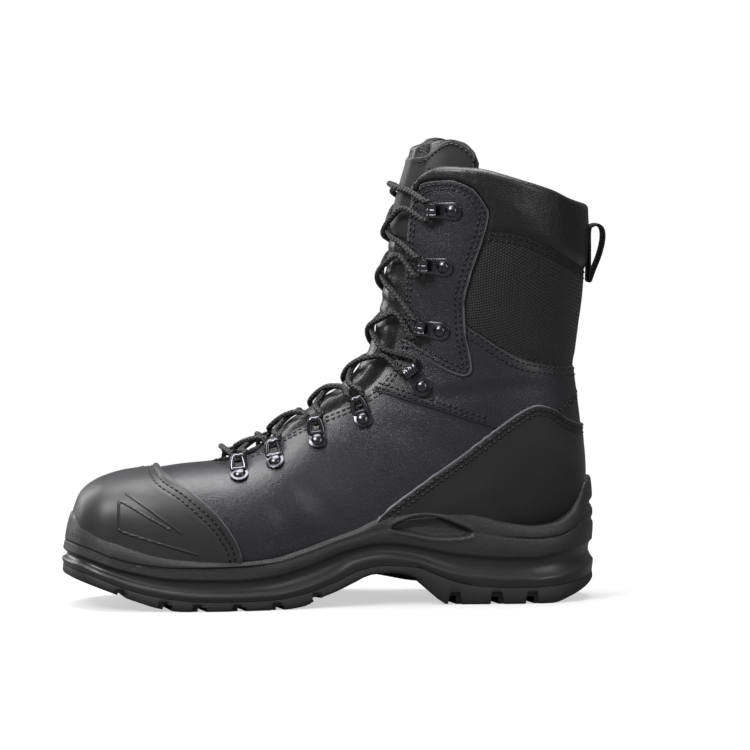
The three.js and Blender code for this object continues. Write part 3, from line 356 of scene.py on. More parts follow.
TREAD = table("at tread", [
    [0, 0.40], [0.03, 0.34], [0.08, 0.23], [0.13, 0.115], [0.175, 0.03], [0.215, 0], [0.40, 0],
    [0.44, 0.03], [0.47, 0.12], [0.50, 0.19], [0.54, 0.31], [0.565, 0.38], [0.60, 0.395],
    [0.64, 0.36], [0.665, 0.22], [0.69, 0.07], [0.71, 0], [0.905, 0], [0.95, 0.08], [1, 0.22],
])
SIDE = table("at sole ridge groove bumper rim_inner rim_outer", [
    [0, 0.51, 0.59, 0.68, 0.80, 1.15, 1.15],
    [0.03, 0.46, 0.54, 0.64, 0.76, 1.07, 1.07],
    [0.08, 0.34, 0.42, 0.53, 0.65, 0.86, 0.86],
    [0.13, 0.23, 0.31, 0.45, 0.57, 0.735, 0.735],
    [0.19, 0.15, 0.23, 0.385, 0.525, 0.647, 0.647],
    [0.25, 0.115, 0.19, 0.37, 0.52, 0.608, 0.608],
    [0.31, 0.11, 0.185, 0.365, 0.53, 0.594, 0.60],
    [0.38, 0.12, 0.205, 0.395, 0.56, 0.628, 0.64],
    [0.44, 0.18, 0.28, 0.49, 0.66, 0.73, 0.72],
    [0.50, 0.31, 0.42, 0.63, 0.79, 0.86, 0.81],
    [0.54, 0.43, 0.55, 0.71, 0.86, 0.95, 0.87],
    [0.59, 0.49, 0.60, 0.755, 0.95, 1.095, 0.93],
    [0.65, 0.46, 0.55, 0.71, 0.97, 1.165, 0.98],
    [0.69, 0.36, 0.46, 0.65, 0.95, 1.183, 0.99],
    [0.73, 0.265, 0.38, 0.60, 0.92, 1.165, 0.99],
    [0.77, 0.22, 0.34, 0.575, 0.88, 1.09, 0.98],
    [0.82, 0.20, 0.32, 0.555, 0.82, 0.996, 0.96],
    [0.875, 0.20, 0.32, 0.555, 0.80, 0.955, 0.955],
    [0.915, 0.215, 0.34, 0.60, 0.82, 0.985, 0.985],
    [0.95, 0.245, 0.38, 0.64, 0.90, 1.095, 1.095],
    [0.967, 0.265, 0.41, 0.66, 0.98, 1.255, 1.255],
    [0.982, 0.285, 0.445, 0.68, 1.06, 1.425, 1.425],
    [1, 0.32, 0.48, 0.70, 1.12, 1.51, 1.51],
])


def outline_points(count):
    """Points round the sole, from the toe along the inner side and back, with outward directions."""
    def edge(at, side, sign):
        front = np.stack([TOE + SOLE_FRONT[at] * SOLE_LENGTH, sign * SOLE_FRONT[side] * BALL_WIDTH], -1)
        back = np.stack([TOE + SOLE_BACK[at] * SOLE_LENGTH, sign * SOLE_BACK[side] * HEEL_WIDTH], -1)
        return np.vstack([front, back])

    p = np.vstack([
        [[TOE, TOE_TIP_SIDE * BALL_WIDTH]], edge("inner_at", "inner", -1),
        [[HEEL_CENTRE, 0]], edge("outer_at", "outer", 1)[::-1],
    ])
    n = len(p)

    def point(share):
        i = int(math.floor(share * n)) % n
        f = share * n - math.floor(share * n)
        a, b, c, d = (p[(i + k) % n] for k in (-1, 0, 1, 2))
        ab, bc, cd = (np.hypot(*(w - v)) ** 0.5 for v, w in ((a, b), (b, c), (c, d)))
        t1 = ((b - a) / ab - (c - a) / (ab + bc) + (c - b) / bc) * bc
        t2 = ((c - b) / bc - (d - b) / (bc + cd) + (d - c) / cd) * bc
        return b + t1 * f + (-3 * b + 3 * c - 2 * t1 - t2) * f * f + (2 * b - 2 * c + t1 + t2) * f ** 3

    shares = np.arange(count) / count
    points = np.array([point(s) for s in shares])
    tangent = np.array([point((s + 1e-3) % 1) - point((s - 1e-3) % 1) for s in shares])
    out = unit(np.stack([tangent[:, 1], -tangent[:, 0]], -1))
    if np.sum(out * (points - points.mean(axis=0))) < 0:
        out = -out
    return points, out


def tread_height(x):
    return along(TREAD, "tread", (x - TOE) / SOLE_LENGTH) * RIM_HEIGHT


def side_height(name, x):
    return along(SIDE, name, (x - TOE) / SOLE_LENGTH) * RIM_HEIGHT


def rim_height(x, y):
    inner = ease(0.5 - y / HEEL_WIDTH)
    return side_height("rim_outer", x) * (1 - inner) + side_height("rim_inner", x) * inner


# Making meshes
def deselect():
    if bpy.context.object and bpy.context.object.mode != "OBJECT":
        bpy.ops.object.mode_set(mode="OBJECT")
    bpy.ops.object.select_all(action="DESELECT")


def choose(obj):
    deselect()
    bpy.context.view_layer.objects.active = obj
    obj.select_set(True)


def lay(name, points, round_=False, merge=0.0):
    """A grid primitive whose points are laid at the given rows and columns, in millimetres."""
    if round_:
        points = np.concatenate([points, points[:, :1]], axis=1)
    rows, columns = points.shape[:2]
    deselect()
    bpy.ops.mesh.primitive_grid_add(x_subdivisions=columns - 1, y_subdivisions=rows - 1, size=1,
                                    location=(0, 0, 0))
    obj = bpy.context.object
    obj.name = obj.data.name = name
    obj.data.vertices.foreach_set("co", (points * MM).astype(np.float32).ravel())
    across = np.linalg.norm(np.diff(points, axis=1), axis=-1).sum(axis=1).mean() * MM
    down = np.linalg.norm(np.diff(points, axis=0), axis=-1).sum(axis=0).mean() * MM
    layer = obj.data.uv_layers.active.data
    uv = np.empty(len(layer) * 2, np.float32)
    layer.foreach_get("uv", uv)
    uv = uv.reshape(-1, 2) * [across, down]
    layer.foreach_set("uv", uv.astype(np.float32).ravel())
    obj.data.update()
    if round_ or merge:
        weld(obj, merge or 1e-6)
    return obj


def edit(obj, operator, **settings):
    """Runs one mesh operator on the whole of a mesh."""
    choose(obj)
    bpy.ops.object.mode_set(mode="EDIT")
    bpy.ops.mesh.select_mode(type="VERT")
    bpy.ops.mesh.select_all(action="SELECT")
    operator(**settings)
    bpy.ops.object.mode_set(mode="OBJECT")


def weld(obj, distance=1e-6):
    edit(obj, bpy.ops.mesh.remove_doubles, threshold=distance)


def face_out(obj):
    edit(obj, bpy.ops.mesh.normals_make_consistent, inside=False)


def drop_faces(obj, drop):
    """Deletes the faces that are marked in a list."""
    choose(obj)
    bpy.ops.object.mode_set(mode="EDIT")
    bpy.ops.mesh.select_mode(type="FACE")
    bpy.ops.object.mode_set(mode="OBJECT")
    obj.data.polygons.foreach_set("select", drop)
    bpy.ops.object.mode_set(mode="EDIT")
    if drop.any():
        bpy.ops.mesh.delete(type="FACE")
    bpy.ops.object.mode_set(mode="OBJECT")


def modify(obj, kind, **settings):
    """Adds a modifier and applies it."""
    choose(obj)
    modifier = obj.modifiers.new(kind.title(), kind)
    for key, value in settings.items():
        setattr(modifier, key, value)
    bpy.ops.object.modifier_apply(modifier=modifier.name)


def bevel(obj, width, segments, angle):
    """Rounds the edges that are sharper than an angle in degrees."""
    modify(obj, "BEVEL", width=width, segments=segments, limit_method="ANGLE", angle_limit=angle * DEGREE)


def smooth(obj, angle=None):
    choose(obj)
    if angle is None:
        bpy.ops.object.shade_smooth()
    else:
        bpy.ops.object.shade_smooth_by_angle(angle=angle * DEGREE)


def join(name, objects):
    choose(objects[0])
    for obj in objects[1:]:
        obj.select_set(True)
    if len(objects) > 1:
        bpy.ops.object.join()
    objects[0].name = objects[0].data.name = name
    return objects[0]


def capped(rows):
    """Rows of a tube, with a row at each end drawn in to its middle to close it."""
    first, last = (np.broadcast_to(row.mean(axis=0), row.shape) for row in (rows[0], rows[-1]))
    return np.concatenate([[first], rows, [last]])


def copied(obj, name, matrix):
    other = obj.copy()
    other.data = obj.data.copy()
    other.name = other.data.name = name
    bpy.context.collection.objects.link(other)
    other.data.transform(matrix)
    other.data.update()
    return other


def mark(obj, name, values):
    """Keeps a value on the mesh: a distance in millimetres for relief finer than its grid, or the strength of
    the painted edge highlight.
    """
    layer = obj.data.attributes.new(name, "FLOAT", "POINT")
    layer.data.foreach_set("value", values.astype(np.float32).ravel())


def finish(obj, kind, slot, *nodes):
    """Gives an object its material, unless kind is None, and hides the nodes that it replaces. The slot is
    not used.
    """
    if kind:
        obj.data.materials.clear()
        obj.data.materials.append(material(kind))
    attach(obj, "root")
    if nodes:
        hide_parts(*nodes)


PANEL_GRID_REACH = 3.0  # the most that a border point moves at once, in millimetres


def panel(name, section, turn, inside, out, thickness, edge=0.6, relief=None):
    """A panel of leather on the form: a grid cut back to where inside is above zero, with a clean edge."""
    section, turn = section.copy(), turn.copy()
    value = inside(section, turn)
    quad = (value[:-1, :-1] + value[1:, :-1] + value[:-1, 1:] + value[1:, 1:]) / 4
    keep = quad > 0
    touch, cut = np.zeros(section.shape, int), np.zeros(section.shape, int)
    for i, j in ((0, 0), (1, 0), (0, 1), (1, 1)):
        touch[i:i + keep.shape[0], j:j + keep.shape[1]] += keep
        cut[i:i + keep.shape[0], j:j + keep.shape[1]] += ~keep
    used, border = touch > 0, (touch > 0) & (cut > 0)
    per_s, per_t = step_lengths(section, turn)

    def snap():
        s, t = section[border], turn[border]
        ps, pt = per_s[border], per_t[border]
        g = inside(s, t)
        near = 0.3  # millimetres to each side, for the slope
        gs = (inside(s + near / ps, t) - inside(s - near / ps, t)) / (2 * near)
        gt = (inside(s, t + near / pt) - inside(s, t - near / pt)) / (2 * near)
        slope = np.maximum(gs * gs + gt * gt, 0.15)
        size = np.clip(-g / slope, -PANEL_GRID_REACH, PANEL_GRID_REACH)
        section[border] = s + size * gs / ps
        turn[border] = t + size * gt / pt

    def relax(moved, beside):
        for field in (section, turn):
            total, count = np.zeros(field.shape), np.zeros(field.shape)
            for axis, way in ((0, 1), (0, -1), (1, 1), (1, -1)):
                ok = np.roll(beside, way, axis)
                edge_row = 0 if way == 1 else -1
                if axis == 0:
                    ok[edge_row] = False
                else:
                    ok[:, edge_row] = False
                total += np.where(ok, np.roll(field, way, axis), 0)
                count += ok
            mean = np.where(count > 0, total / np.maximum(count, 1), field)
            field[moved] = mean[moved] * 0.6 + field[moved] * 0.4

    for _ in range(3):
        snap()
    inner = used & ~border
    inner[0], inner[-1], inner[:, 0], inner[:, -1] = False, False, False, False
    for _ in range(4):
        relax(border, border)
        snap()
        relax(inner, used)
    snap()
    way = -1 if turn[0, -1] > turn[0, 0] else 1
    obj = lay(name, off_skin(section, turn, out(section, turn))[:, ::way])
    if relief:
        mark(obj, "relief", relief(section, turn)[:, ::way])
    # The edge mark is high at the panel's edge, where the materials paint a highlight for the light that the
    # folded edge catches
    mark(obj, "edge", hill(np.maximum(inside(section, turn), 0), 0, 0.7)[:, ::way])
    drop_faces(obj, (~keep[:, ::way]).ravel())
    weld(obj, 2e-5)
    modify(obj, "SOLIDIFY", thickness=thickness * MM, offset=-1.0)
    if edge:
        bevel(obj, edge * MM, 2, 50)
    smooth(obj, 50)
    return obj


def grid(s_values, t_values):
    return np.meshgrid(s_values, t_values, indexing="ij")


def patch(step, sections, turns):
    """Sections and turns of a grid: from, to, and about how many millimetres that is, for each."""
    return grid(*(np.linspace(start, end, int(reach / step)) for start, end, reach in (sections, turns)))


# Finding a place on the form from its place in the side view
SAMPLE_S, SAMPLE_T = grid(np.linspace(0.5, LAST, 160), np.linspace(0.05, math.pi - 0.05, 60))
SAMPLE_XZ = skin(SAMPLE_S, SAMPLE_T)[..., (0, 2)].reshape(-1, 2)


def locate(line, side):
    """Sections and turns on the inner (-1) or outer (1) side under a line of the side view, and the miss."""
    index = [int(np.argmin(((SAMPLE_XZ - p) ** 2).sum(axis=1))) for p in line]
    s, t = SAMPLE_S.ravel()[index], SAMPLE_T.ravel()[index]
    if side > 0:
        t = 2 * math.pi - t
    for _ in range(14):
        here = skin(s, t)[:, (0, 2)]
        gap = line - here
        js = (skin(s + 0.02, t) - skin(s - 0.02, t))[:, (0, 2)] / 0.04
        jt = (skin(s, t + 0.01) - skin(s, t - 0.01))[:, (0, 2)] / 0.02
        a = (js * js).sum(1) + 0.5
        b = (js * jt).sum(1)
        d = (jt * jt).sum(1) + 20
        rs, rt = (js * gap).sum(1), (jt * gap).sum(1)
        det = a * d - b * b
        s = np.clip(s + np.clip((d * rs - b * rt) / det, -1, 1), 0.2, LAST)
        t = t + np.clip((a * rt - b * rs) / det, -0.3, 0.3)
    miss = np.linalg.norm(line - skin(s, t)[:, (0, 2)], axis=1)
    return s, t, miss


def evenly(points, step):
    """The points of a line at even steps along it."""
    length = np.concatenate([[0], np.cumsum(np.linalg.norm(np.diff(points, axis=0), axis=1))])
    count = max(int(length[-1] / step), 1)
    at = np.linspace(0, length[-1], count + 1)
    return np.stack([np.interp(at, length, points[:, k]) for k in range(points.shape[1])], -1)


def shifted(line, distance):
    """A line of the side view moved sideways."""
    tangent = unit(np.gradient(line, axis=0))
    return line + np.stack([-tangent[:, 1], tangent[:, 0]], -1) * distance


# Materials
def linear(text):
    """A colour for the shader's sockets, from its sRGB hex."""
    values = [int(text[i:i + 2], 16) / 255 for i in (1, 3, 5)]
    return [v / 12.92 if v <= 0.04045 else ((v + 0.055) / 1.055) ** 2.4 for v in values] + [1.0]


def add(tree, kind, values=None, into=(), **links):
    """Adds a node with its settings, and its links or numbers by place or by the socket's name.

    A node given as a link stands for its first output, and a hex text for a colour.
    """
    node = tree.nodes.new("ShaderNode" + kind)
    for key, value in (values or {}).items():
        if hasattr(node, key):
            setattr(node, key, value)
        else:
            node.inputs[key].default_value = linear(value) if isinstance(value, str) else value
    for key, source in [*enumerate(into), *links.items()]:
        if isinstance(source, (int, float)):
            node.inputs[key].default_value = source
        elif source is not None:
            tree.links.new(getattr(source, "outputs", [source])[0], node.inputs[key])
    return node


class Surface:
    """A material being made: its shader, and the ways in which textures change it."""

    def __init__(self, name, colour, roughness, space="Object", **sockets):
        self.material = bpy.data.materials.new(name)
        self.material.use_nodes = True
        self.tree = self.material.node_tree
        self.shader = self.tree.nodes["Principled BSDF"]
        sockets.update(Base_Color=linear(colour), Roughness=roughness)
        for key, value in sockets.items():
            self.shader.inputs[key.replace("_", " ")].default_value = value
        self.coords = self.add("TexCoord").outputs[space]

    def add(self, kind, values=None, into=(), **links):
        return add(self.tree, kind, values, into, **links)

    def texture(self, kind, **values):
        """A texture in the material's coordinates."""
        return self.add("Tex" + kind, values, Vector=self.coords)

    def math(self, operation, *into):
        return self.add("Math", {"operation": operation}, into)

    def driven_by(self, socket):
        """What already drives one of the shader's sockets, if anything."""
        links = self.shader.inputs[socket].links
        return links[0].from_socket if links else None

    def drive(self, socket, node):
        self.tree.links.new(node.outputs[0], self.shader.inputs[socket])

    def tint(self, factor, low, high):
        """Colours run from one to another with a factor."""
        self.drive("Base Color", self.add("MixRGB", {"Color1": low, "Color2": high}, (factor,)))

    def mottle(self, light, dark, scale, detail=3.0):
        """Slow changes of colour over a surface."""
        self.tint(self.texture("Noise", Scale=scale, Detail=detail), dark, light)

    def painted_edge_highlight(self):
        """Painted highlight: the folded edge of a panel is painted paler where the mesh's edge mark is high,
        for the light that the edge catches.
        """
        marked = self.add("Attribute", {"attribute_name": "edge"}).outputs["Fac"]
        share = self.math("MULTIPLY", self.math("POWER", marked, EDGE_FALL), EDGE_HIGHLIGHT_SHARE)
        highlighted_colour = self.add("MixRGB", {"Color2": "#74747a"}, (share, self.driven_by("Base Color")))
        self.drive("Base Color", highlighted_colour)

    def gloss(self, source, low, high):
        """The roughness runs between two values."""
        self.drive("Roughness", self.add("MapRange", {"To Min": low, "To Max": high}, Value=source))

    def relief(self, height, strength, distance):
        """Relief on top of any before it. Distance is its height in metres."""
        values = {"Strength": strength, "Distance": distance}
        self.drive("Normal", self.add("Bump", values, Height=height, Normal=self.driven_by("Normal")))

    def step(self, low, high, distance):
        """A small step or line where the mesh's relief mark lies between two distances in millimetres."""
        marked = self.add("Attribute", {"attribute_name": "relief"}).outputs["Fac"]
        values = {"From Min": low, "From Max": high, "interpolation_type": "SMOOTHSTEP"}
        self.relief(self.add("MapRange", values, Value=marked), 1.0, distance)


# How fast the painted edge highlight falls off, and how strongly it pales the colour
EDGE_FALL, EDGE_HIGHLIGHT_SHARE = 5.0, 0.85


def full_grain_leather(name, light="#27272c", dark="#17171b", roughness=0.38, grain=1.1, depth=0.00026,
                       cut_edge=False, puckers=0.0):
    # Finished cowhide: small pebbles about a millimetre across under a thin even coat with a soft gloss
    s = Surface(name, light, roughness, IOR=1.5, Coat_Weight=0.25, Coat_Roughness=0.28)
    s.mottle(light, dark, 26.0)
    # A painted highlight along the folded edges
    s.painted_edge_highlight()
    pebbles = s.texture("Voronoi", feature="DISTANCE_TO_EDGE", Scale=1000 / grain)
    pores = s.texture("Noise", Scale=420.0, Detail=4.0, Roughness=0.6)
    s.relief(s.math("MULTIPLY_ADD", pebbles, 1.4, pores), 0.8, depth)
    if puckers:
        drawn = s.add("Mapping", {"Scale": (1.0, 1.0, 0.45)}, Vector=s.coords)
        s.relief(s.add("TexNoise", {"Scale": 210.0, "Detail": 2.0}, Vector=drawn), 1.0, puckers)
    if cut_edge:
        s.step(-0.25, 0.35, 0.0011)
    s.gloss(s.texture("Noise", Scale=38.0, Detail=5.0), roughness - 0.09, roughness + 0.11)
    return s.material


def nubuck(name):
    # Buffed cowhide: a very short nap that scatters the light, with darker brushed patches
    s = Surface(name, "#1b1b1d", 0.66, IOR=1.45, Sheen_Weight=0.12, Sheen_Roughness=0.5)
    s.mottle("#1e1e20", "#101011", 55.0, 6.0)
    # A painted highlight along the folded edges
    s.painted_edge_highlight()
    s.relief(s.texture("Noise", Scale=1500.0, Detail=3.0), 0.5, 0.00012)
    return s.material


def coated_cap(name):
    # Polyurethane laid over leather against scuffs: even, satin, with a fine sandy grain
    s = Surface(name, "#2b2b2e", 0.5, IOR=1.5)
    s.mottle("#303032", "#232325", 40.0)
    # A painted highlight along the folded edges
    s.painted_edge_highlight()
    s.relief(s.texture("Noise", Scale=1300.0, Detail=2.0), 0.5, 0.00010)
    s.step(0.9, 0.2, 0.0007)
    s.gloss(s.texture("Noise", Scale=60.0, Detail=6.0, Roughness=0.7), 0.34, 0.56)
    return s.material


def moulded_foam(name, grained):
    # Polyurethane foam with a skin from the mould: grained like leather above, plain and glossier below
    s = Surface(name, "#202022", 0.42, IOR=1.5)
    s.mottle("#303032", "#212123", 30.0)
    if grained:
        bent = s.texture("Noise", Scale=120.0, Detail=2.0).outputs["Color"]
        pushed = s.add("VectorMath", {"operation": "MULTIPLY_ADD"}, (bent, None, s.coords))
        pushed.inputs[1].default_value = (0.002, 0.002, 0.002)
        cells = s.add("TexVoronoi", {"feature": "DISTANCE_TO_EDGE", "Scale": 850.0}, Vector=pushed)
        plates = s.add("MapRange", {"From Max": 0.16}, Value=cells)
        s.relief(plates, 0.6, 0.00014)
        s.gloss(plates, 0.56, 0.40)
    else:
        fine = s.texture("Noise", Scale=500.0, Detail=3.0)
        s.relief(fine, 0.3, 0.00008)
        s.gloss(fine, 0.30, 0.42)
    return s.material


def tread_rubber(name):
    # Nitrile rubber, moulded: dull, with a little dust-grey mottling
    s = Surface(name, "#1a1a1b", 0.58, IOR=1.52)
    s.mottle("#262627", "#161617", 45.0, 5.0)
    s.relief(s.texture("Noise", Scale=700.0, Detail=4.0), 0.5, 0.00012)
    return s.material


def ballistic_nylon(name, spacing=1.25):
    # Woven nylon laid on the bias. The threads are about 0.8 mm, drawn a little coarser so that they show
    s = Surface(name, "#141416", 0.62, "UV", IOR=1.5, Sheen_Weight=0.1)
    turned = s.add("Mapping", {"Rotation": (0, 0, 0.72), "Scale": (1000 / spacing,) * 3}, Vector=s.coords)
    across, down = s.add("SeparateXYZ", Vector=turned).outputs[:2]
    over = s.add("TexChecker", {"Scale": 1.0}, Vector=turned).outputs["Fac"]
    shares = (over, s.math("SUBTRACT", 1.0, over))
    threads = []
    for way, share in zip((across, down), shares):
        wave = s.math("ABSOLUTE", s.math("SINE", s.math("MULTIPLY", way, math.pi)))
        threads.append(s.math("MULTIPLY", wave, share))
    height = s.math("ADD", *threads)
    s.relief(height, 0.9, 0.00035)
    s.tint(height, "#020203", "#0f0f11")
    return s.material


def knit_lining(name):
    # Spacer knit inside the shaft: dull, soft, with small open cells
    s = Surface(name, "#1d1d20", 0.9, IOR=1.45, Sheen_Weight=0.25)
    cells = s.texture("Voronoi", Scale=520.0)
    s.relief(cells, 0.7, 0.0004)
    s.tint(cells, "#26262a", "#0f0f11")
    return s.material


def dark_nickel(name):
    # Steel fittings with a polished black nickel plate, a little duller in random patches
    s = Surface(name, "#8b8b90", 0.2, Metallic=1.0)
    s.gloss(s.texture("Noise", Scale=400.0, Detail=4.0), 0.17, 0.32)
    s.mottle("#68686d", "#444448", 260.0)
    return s.material


def braided_lace(name, girth=0.0132, strands=4, plait=0.0030):
    # Round polyester braid: strands wind both ways, with a light fleck on some of the crossings
    s = Surface(name, "#131315", 0.6, "UV", IOR=1.5)
    across, along_it = s.add("SeparateXYZ", Vector=s.coords).outputs[:2]
    around = s.math("MULTIPLY", across, 2 * math.pi * strands / girth)
    run = s.math("MULTIPLY", along_it, 2 * math.pi / plait)
    one = s.math("SINE", s.math("ADD", around, run))
    other = s.math("SINE", s.math("SUBTRACT", around, run))
    s.relief(s.math("MAXIMUM", one, other), 0.8, 0.0005)
    fleck = s.add("MapRange", {"From Min": 0.35, "From Max": 0.9}, Value=s.math("MULTIPLY", one, other))
    place = s.add("TexCoord").outputs["Object"]
    speck = s.add("TexNoise", {"Scale": 300.0, "Detail": 1.0}, Vector=place)
    shown = s.add("MapRange", {"From Min": 0.45, "From Max": 0.6}, Value=speck)
    s.tint(s.math("MULTIPLY", fleck, shown), "#070708", "#4c4c52")
    return s.material


def ribbed_webbing(name, rib=0.0014):
    # Polyester webbing with fine ribs across it
    s = Surface(name, "#141416", 0.7, "UV", IOR=1.5)
    along_it = s.add("SeparateXYZ", Vector=s.coords).outputs["Y"]
    s.relief(s.math("SINE", s.math("MULTIPLY", along_it, 2 * math.pi / rib)), 0.7, 0.0002)
    return s.material


def waxed_thread(name):
    # Bonded polyester sewing thread, black, with a slight gloss
    s = Surface(name, "#0b0b0c", 0.36, IOR=1.5)
    s.relief(s.texture("Noise", Scale=2500.0), 0.4, 0.0001)
    return s.material


MATERIALS = {}


def material(kind):
    makers = {
        "leather": lambda: full_grain_leather("Full Grain Leather"),
        "upper": lambda: full_grain_leather("Full Grain Leather Cut", cut_edge=True),
        "soft_leather": lambda: full_grain_leather(
            "Soft Collar Leather", "#151517", "#0d0d0f", 0.42, 1.6, 0.0002, puckers=0.0005),
        "nubuck": lambda: nubuck("Nubuck"),
        "cap": lambda: coated_cap("Coated Toe Leather"),
        "foam": lambda: moulded_foam("Moulded Foam", False),
        "foam_grained": lambda: moulded_foam("Moulded Foam Grained", True),
        "rubber": lambda: tread_rubber("Nitrile Rubber"),
        "textile": lambda: ballistic_nylon("Woven Nylon"),
        "lining": lambda: knit_lining("Knit Lining"),
        "metal": lambda: dark_nickel("Black Nickel Plate"),
        "lace": lambda: braided_lace("Round Braid"),
        "webbing": lambda: ribbed_webbing("Ribbed Webbing"),
        "thread": lambda: waxed_thread("Bonded Thread"),
    }
    if kind not in MATERIALS:
        MATERIALS[kind] = makers[kind]()
    return MATERIALS[kind]


def metres(name, description, value):
    return FloatProperty(name=name, description=description, default=value, unit="LENGTH")


class BootSizes(bpy.types.PropertyGroup):
    stitch_pitch: metres("Stitch pitch", "From one stitch to the next", 0.0034)
    stitch_length: metres("Stitch length", "Length of the thread that shows", 0.0026)
    thread: metres("Thread", "Width of the sewing thread", 0.0012)
    lace_diameter: metres("Lace diameter", "Width of the round lace", 0.0033)
    cuff_padding: metres("Cuff padding", "How far the collar's padding swells", 0.0018)
    fineness: metres("Grid step", "Size of the upper's grid squares", 0.0018)
    camera_azimuth: FloatProperty(name="Camera azimuth", description="From straight on the inner side",
                                  default=-7.0)
    camera_elevation: FloatProperty(name="Camera elevation", description="Above the horizon", default=4.0)
    camera_distance: metres("Camera distance", "From the middle of the boot", 2.6)


def sizes():
    return bpy.context.scene.boot_sizes


EDGE_ROWS = (2.2, 4.9)  # two rows of stitches in from an edge
BACKSTAY = table("at up", [[0.905, 0.437], [0.93, 0.452], [0.957, 0.476], [0.985, 0.50]])

# Soft troughs (positive depth) and ridges in the leather: a line of the side view, its half width and depth
CREASES = [
    ((0.34, 0.30), (0.42, 0.17), 4.5, 0.35),
    ((0.40, 0.33), (0.50, 0.20), 5.0, 0.35),
    ((0.38, 0.32), (0.46, 0.185), 3.5, -0.25),
    ((0.52, 0.45), (0.62, 0.40), 6.0, 0.35),
    ((0.66, 0.47), (0.86, 0.500), 4.5, 0.6),
    ((0.70, 0.50), (0.94, 0.525), 4.0, -0.4),
    ((0.62, 0.40), (0.74, 0.34), 7.0, 0.4),
]


def crease_depth(point):
    """How far the leather moves out at a point."""
    out = np.zeros(point.shape[:-1])
    flat = point[..., (0, 2)]
    for (a_at, a_up), (b_at, b_up), width, depth in CREASES:
        a = np.array([TOE + a_at * SOLE_LENGTH, a_up * COLLAR_HEIGHT])
        b = np.array([TOE + b_at * SOLE_LENGTH, b_up * COLLAR_HEIGHT])
        d = b - a
        f = ((flat - a) @ d) / (d @ d)
        gap = flat - (a + np.clip(f, 0, 1)[..., None] * d)
        out -= depth * hill(np.hypot(gap[..., 0], gap[..., 1]), 0, width)
    return out


LEG_STEP = 0.9
TEXTILE_LINE = edge_line(TEXTILE_EDGE, COLLAR_HEIGHT)
VAMP_LINE = edge_line(VAMP_SEAM, COLLAR_HEIGHT)
EYESTAY_LINE = edge_line(EYESTAY, COLLAR_HEIGHT, 4, True)


def behind_eyestay(flat, overlap):
    """How far a place of the side view lies behind the eyestay's edge, in millimetres, with an overlap."""
    return np.minimum(-line_distance(flat, EYESTAY_LINE, True) + overlap, flat[..., 0] + 40)


def upper_out(section, turn):
    """The upper's relief: the leg's leather lies over the vamp and round the textile, and it creases."""
    point = skin(section, turn)
    flat = point[..., (0, 2)]
    over_vamp = ease((line_distance(flat, VAMP_LINE) + 0.3) / 1.8)
    under_textile = ease((-line_distance(flat, TEXTILE_LINE) + 0.3) / 1.8)
    return LEG_STEP * over_vamp * under_textile + crease_depth(point) * ease((section - 8) / 2)


class BOOT_OT_upper(bpy.types.Operator):
    """Makes the upper's leather shell with its lining, and the textile panel in its shaft"""
    bl_idname = "boot.upper"
    bl_label = "Upper"

    def execute(self, context):
        step = sizes().fineness / MM
        across = int(150 / step)
        share = np.linspace(-1, 1, 2 * across + 1)
        collar = edge_line(COLLAR_LINE, COLLAR_HEIGHT) - [0, 4.0]

        def turn_of(s):
            return share * (math.pi - throat_angle(s))

        top = end_section(turn_of, collar, np.full(share.shape, 21.0), LAST)
        low = np.concatenate([np.linspace(0, 3, 20, endpoint=False), np.linspace(3, 20, int(250 / step))])
        rows = [np.full(share.shape, s) for s in low]
        rows += [20 + (top - 20) * f for f in np.linspace(0, 1, int(70 / step))[1:]]
        section = np.array(rows)
        turn = turn_of(section)
        points = off_skin(section, turn, upper_out(section, turn))
        points[0] = points[0].mean(axis=0)
        shell = lay("upper_leather", points[:, ::-1])
        flat = skin(section, turn)[..., (0, 2)]
        seam, hem = line_distance(flat, VAMP_LINE), -line_distance(flat, TEXTILE_LINE)
        on_vamp = flat[..., 0] < VAMP_LINE[-1, 0]
        mark(shell, "relief", np.where(on_vamp, np.minimum(seam, np.maximum(hem, -3)), hem)[:, ::-1])
        weld(shell, 3e-5)
        modify(shell, "SOLIDIFY", thickness=(UPPER_WALL - 0.2) * MM, offset=-1.0, material_offset=1)
        bevel(shell, 0.7 * MM, 2, 60)
        smooth(shell, 50)
        shell.data.materials.append(material("upper"))
        shell.data.materials.append(material("lining"))
        finish(shell, None, "upper_leather", "upper")

        # The woven panel lies behind the eyestays, from the leg's leather up to the cuff
        cuff = edge_line(CUFF_EDGE, COLLAR_HEIGHT) + [0, 3.0]

        def inside(s, t):
            flat = skin(s, t)[..., (0, 2)]
            behind = behind_eyestay(flat, 2.0)
            inside = np.minimum(line_distance(flat, TEXTILE_LINE) - 0.4, -line_distance(flat, cuff))
            return np.minimum(inside, behind)

        def puff(s, t):
            return 0.35 + 0.9 * ease(inside(s, t) / 9)

        section, turn = patch(step, (15.5, 25.5, 170), (-2.1, 2.1, 190))
        cloth = panel("textile_panel", section, turn, inside, puff, 0.8, 0.2)
        finish(cloth, "textile", "webbing")
        return {"FINISHED"}


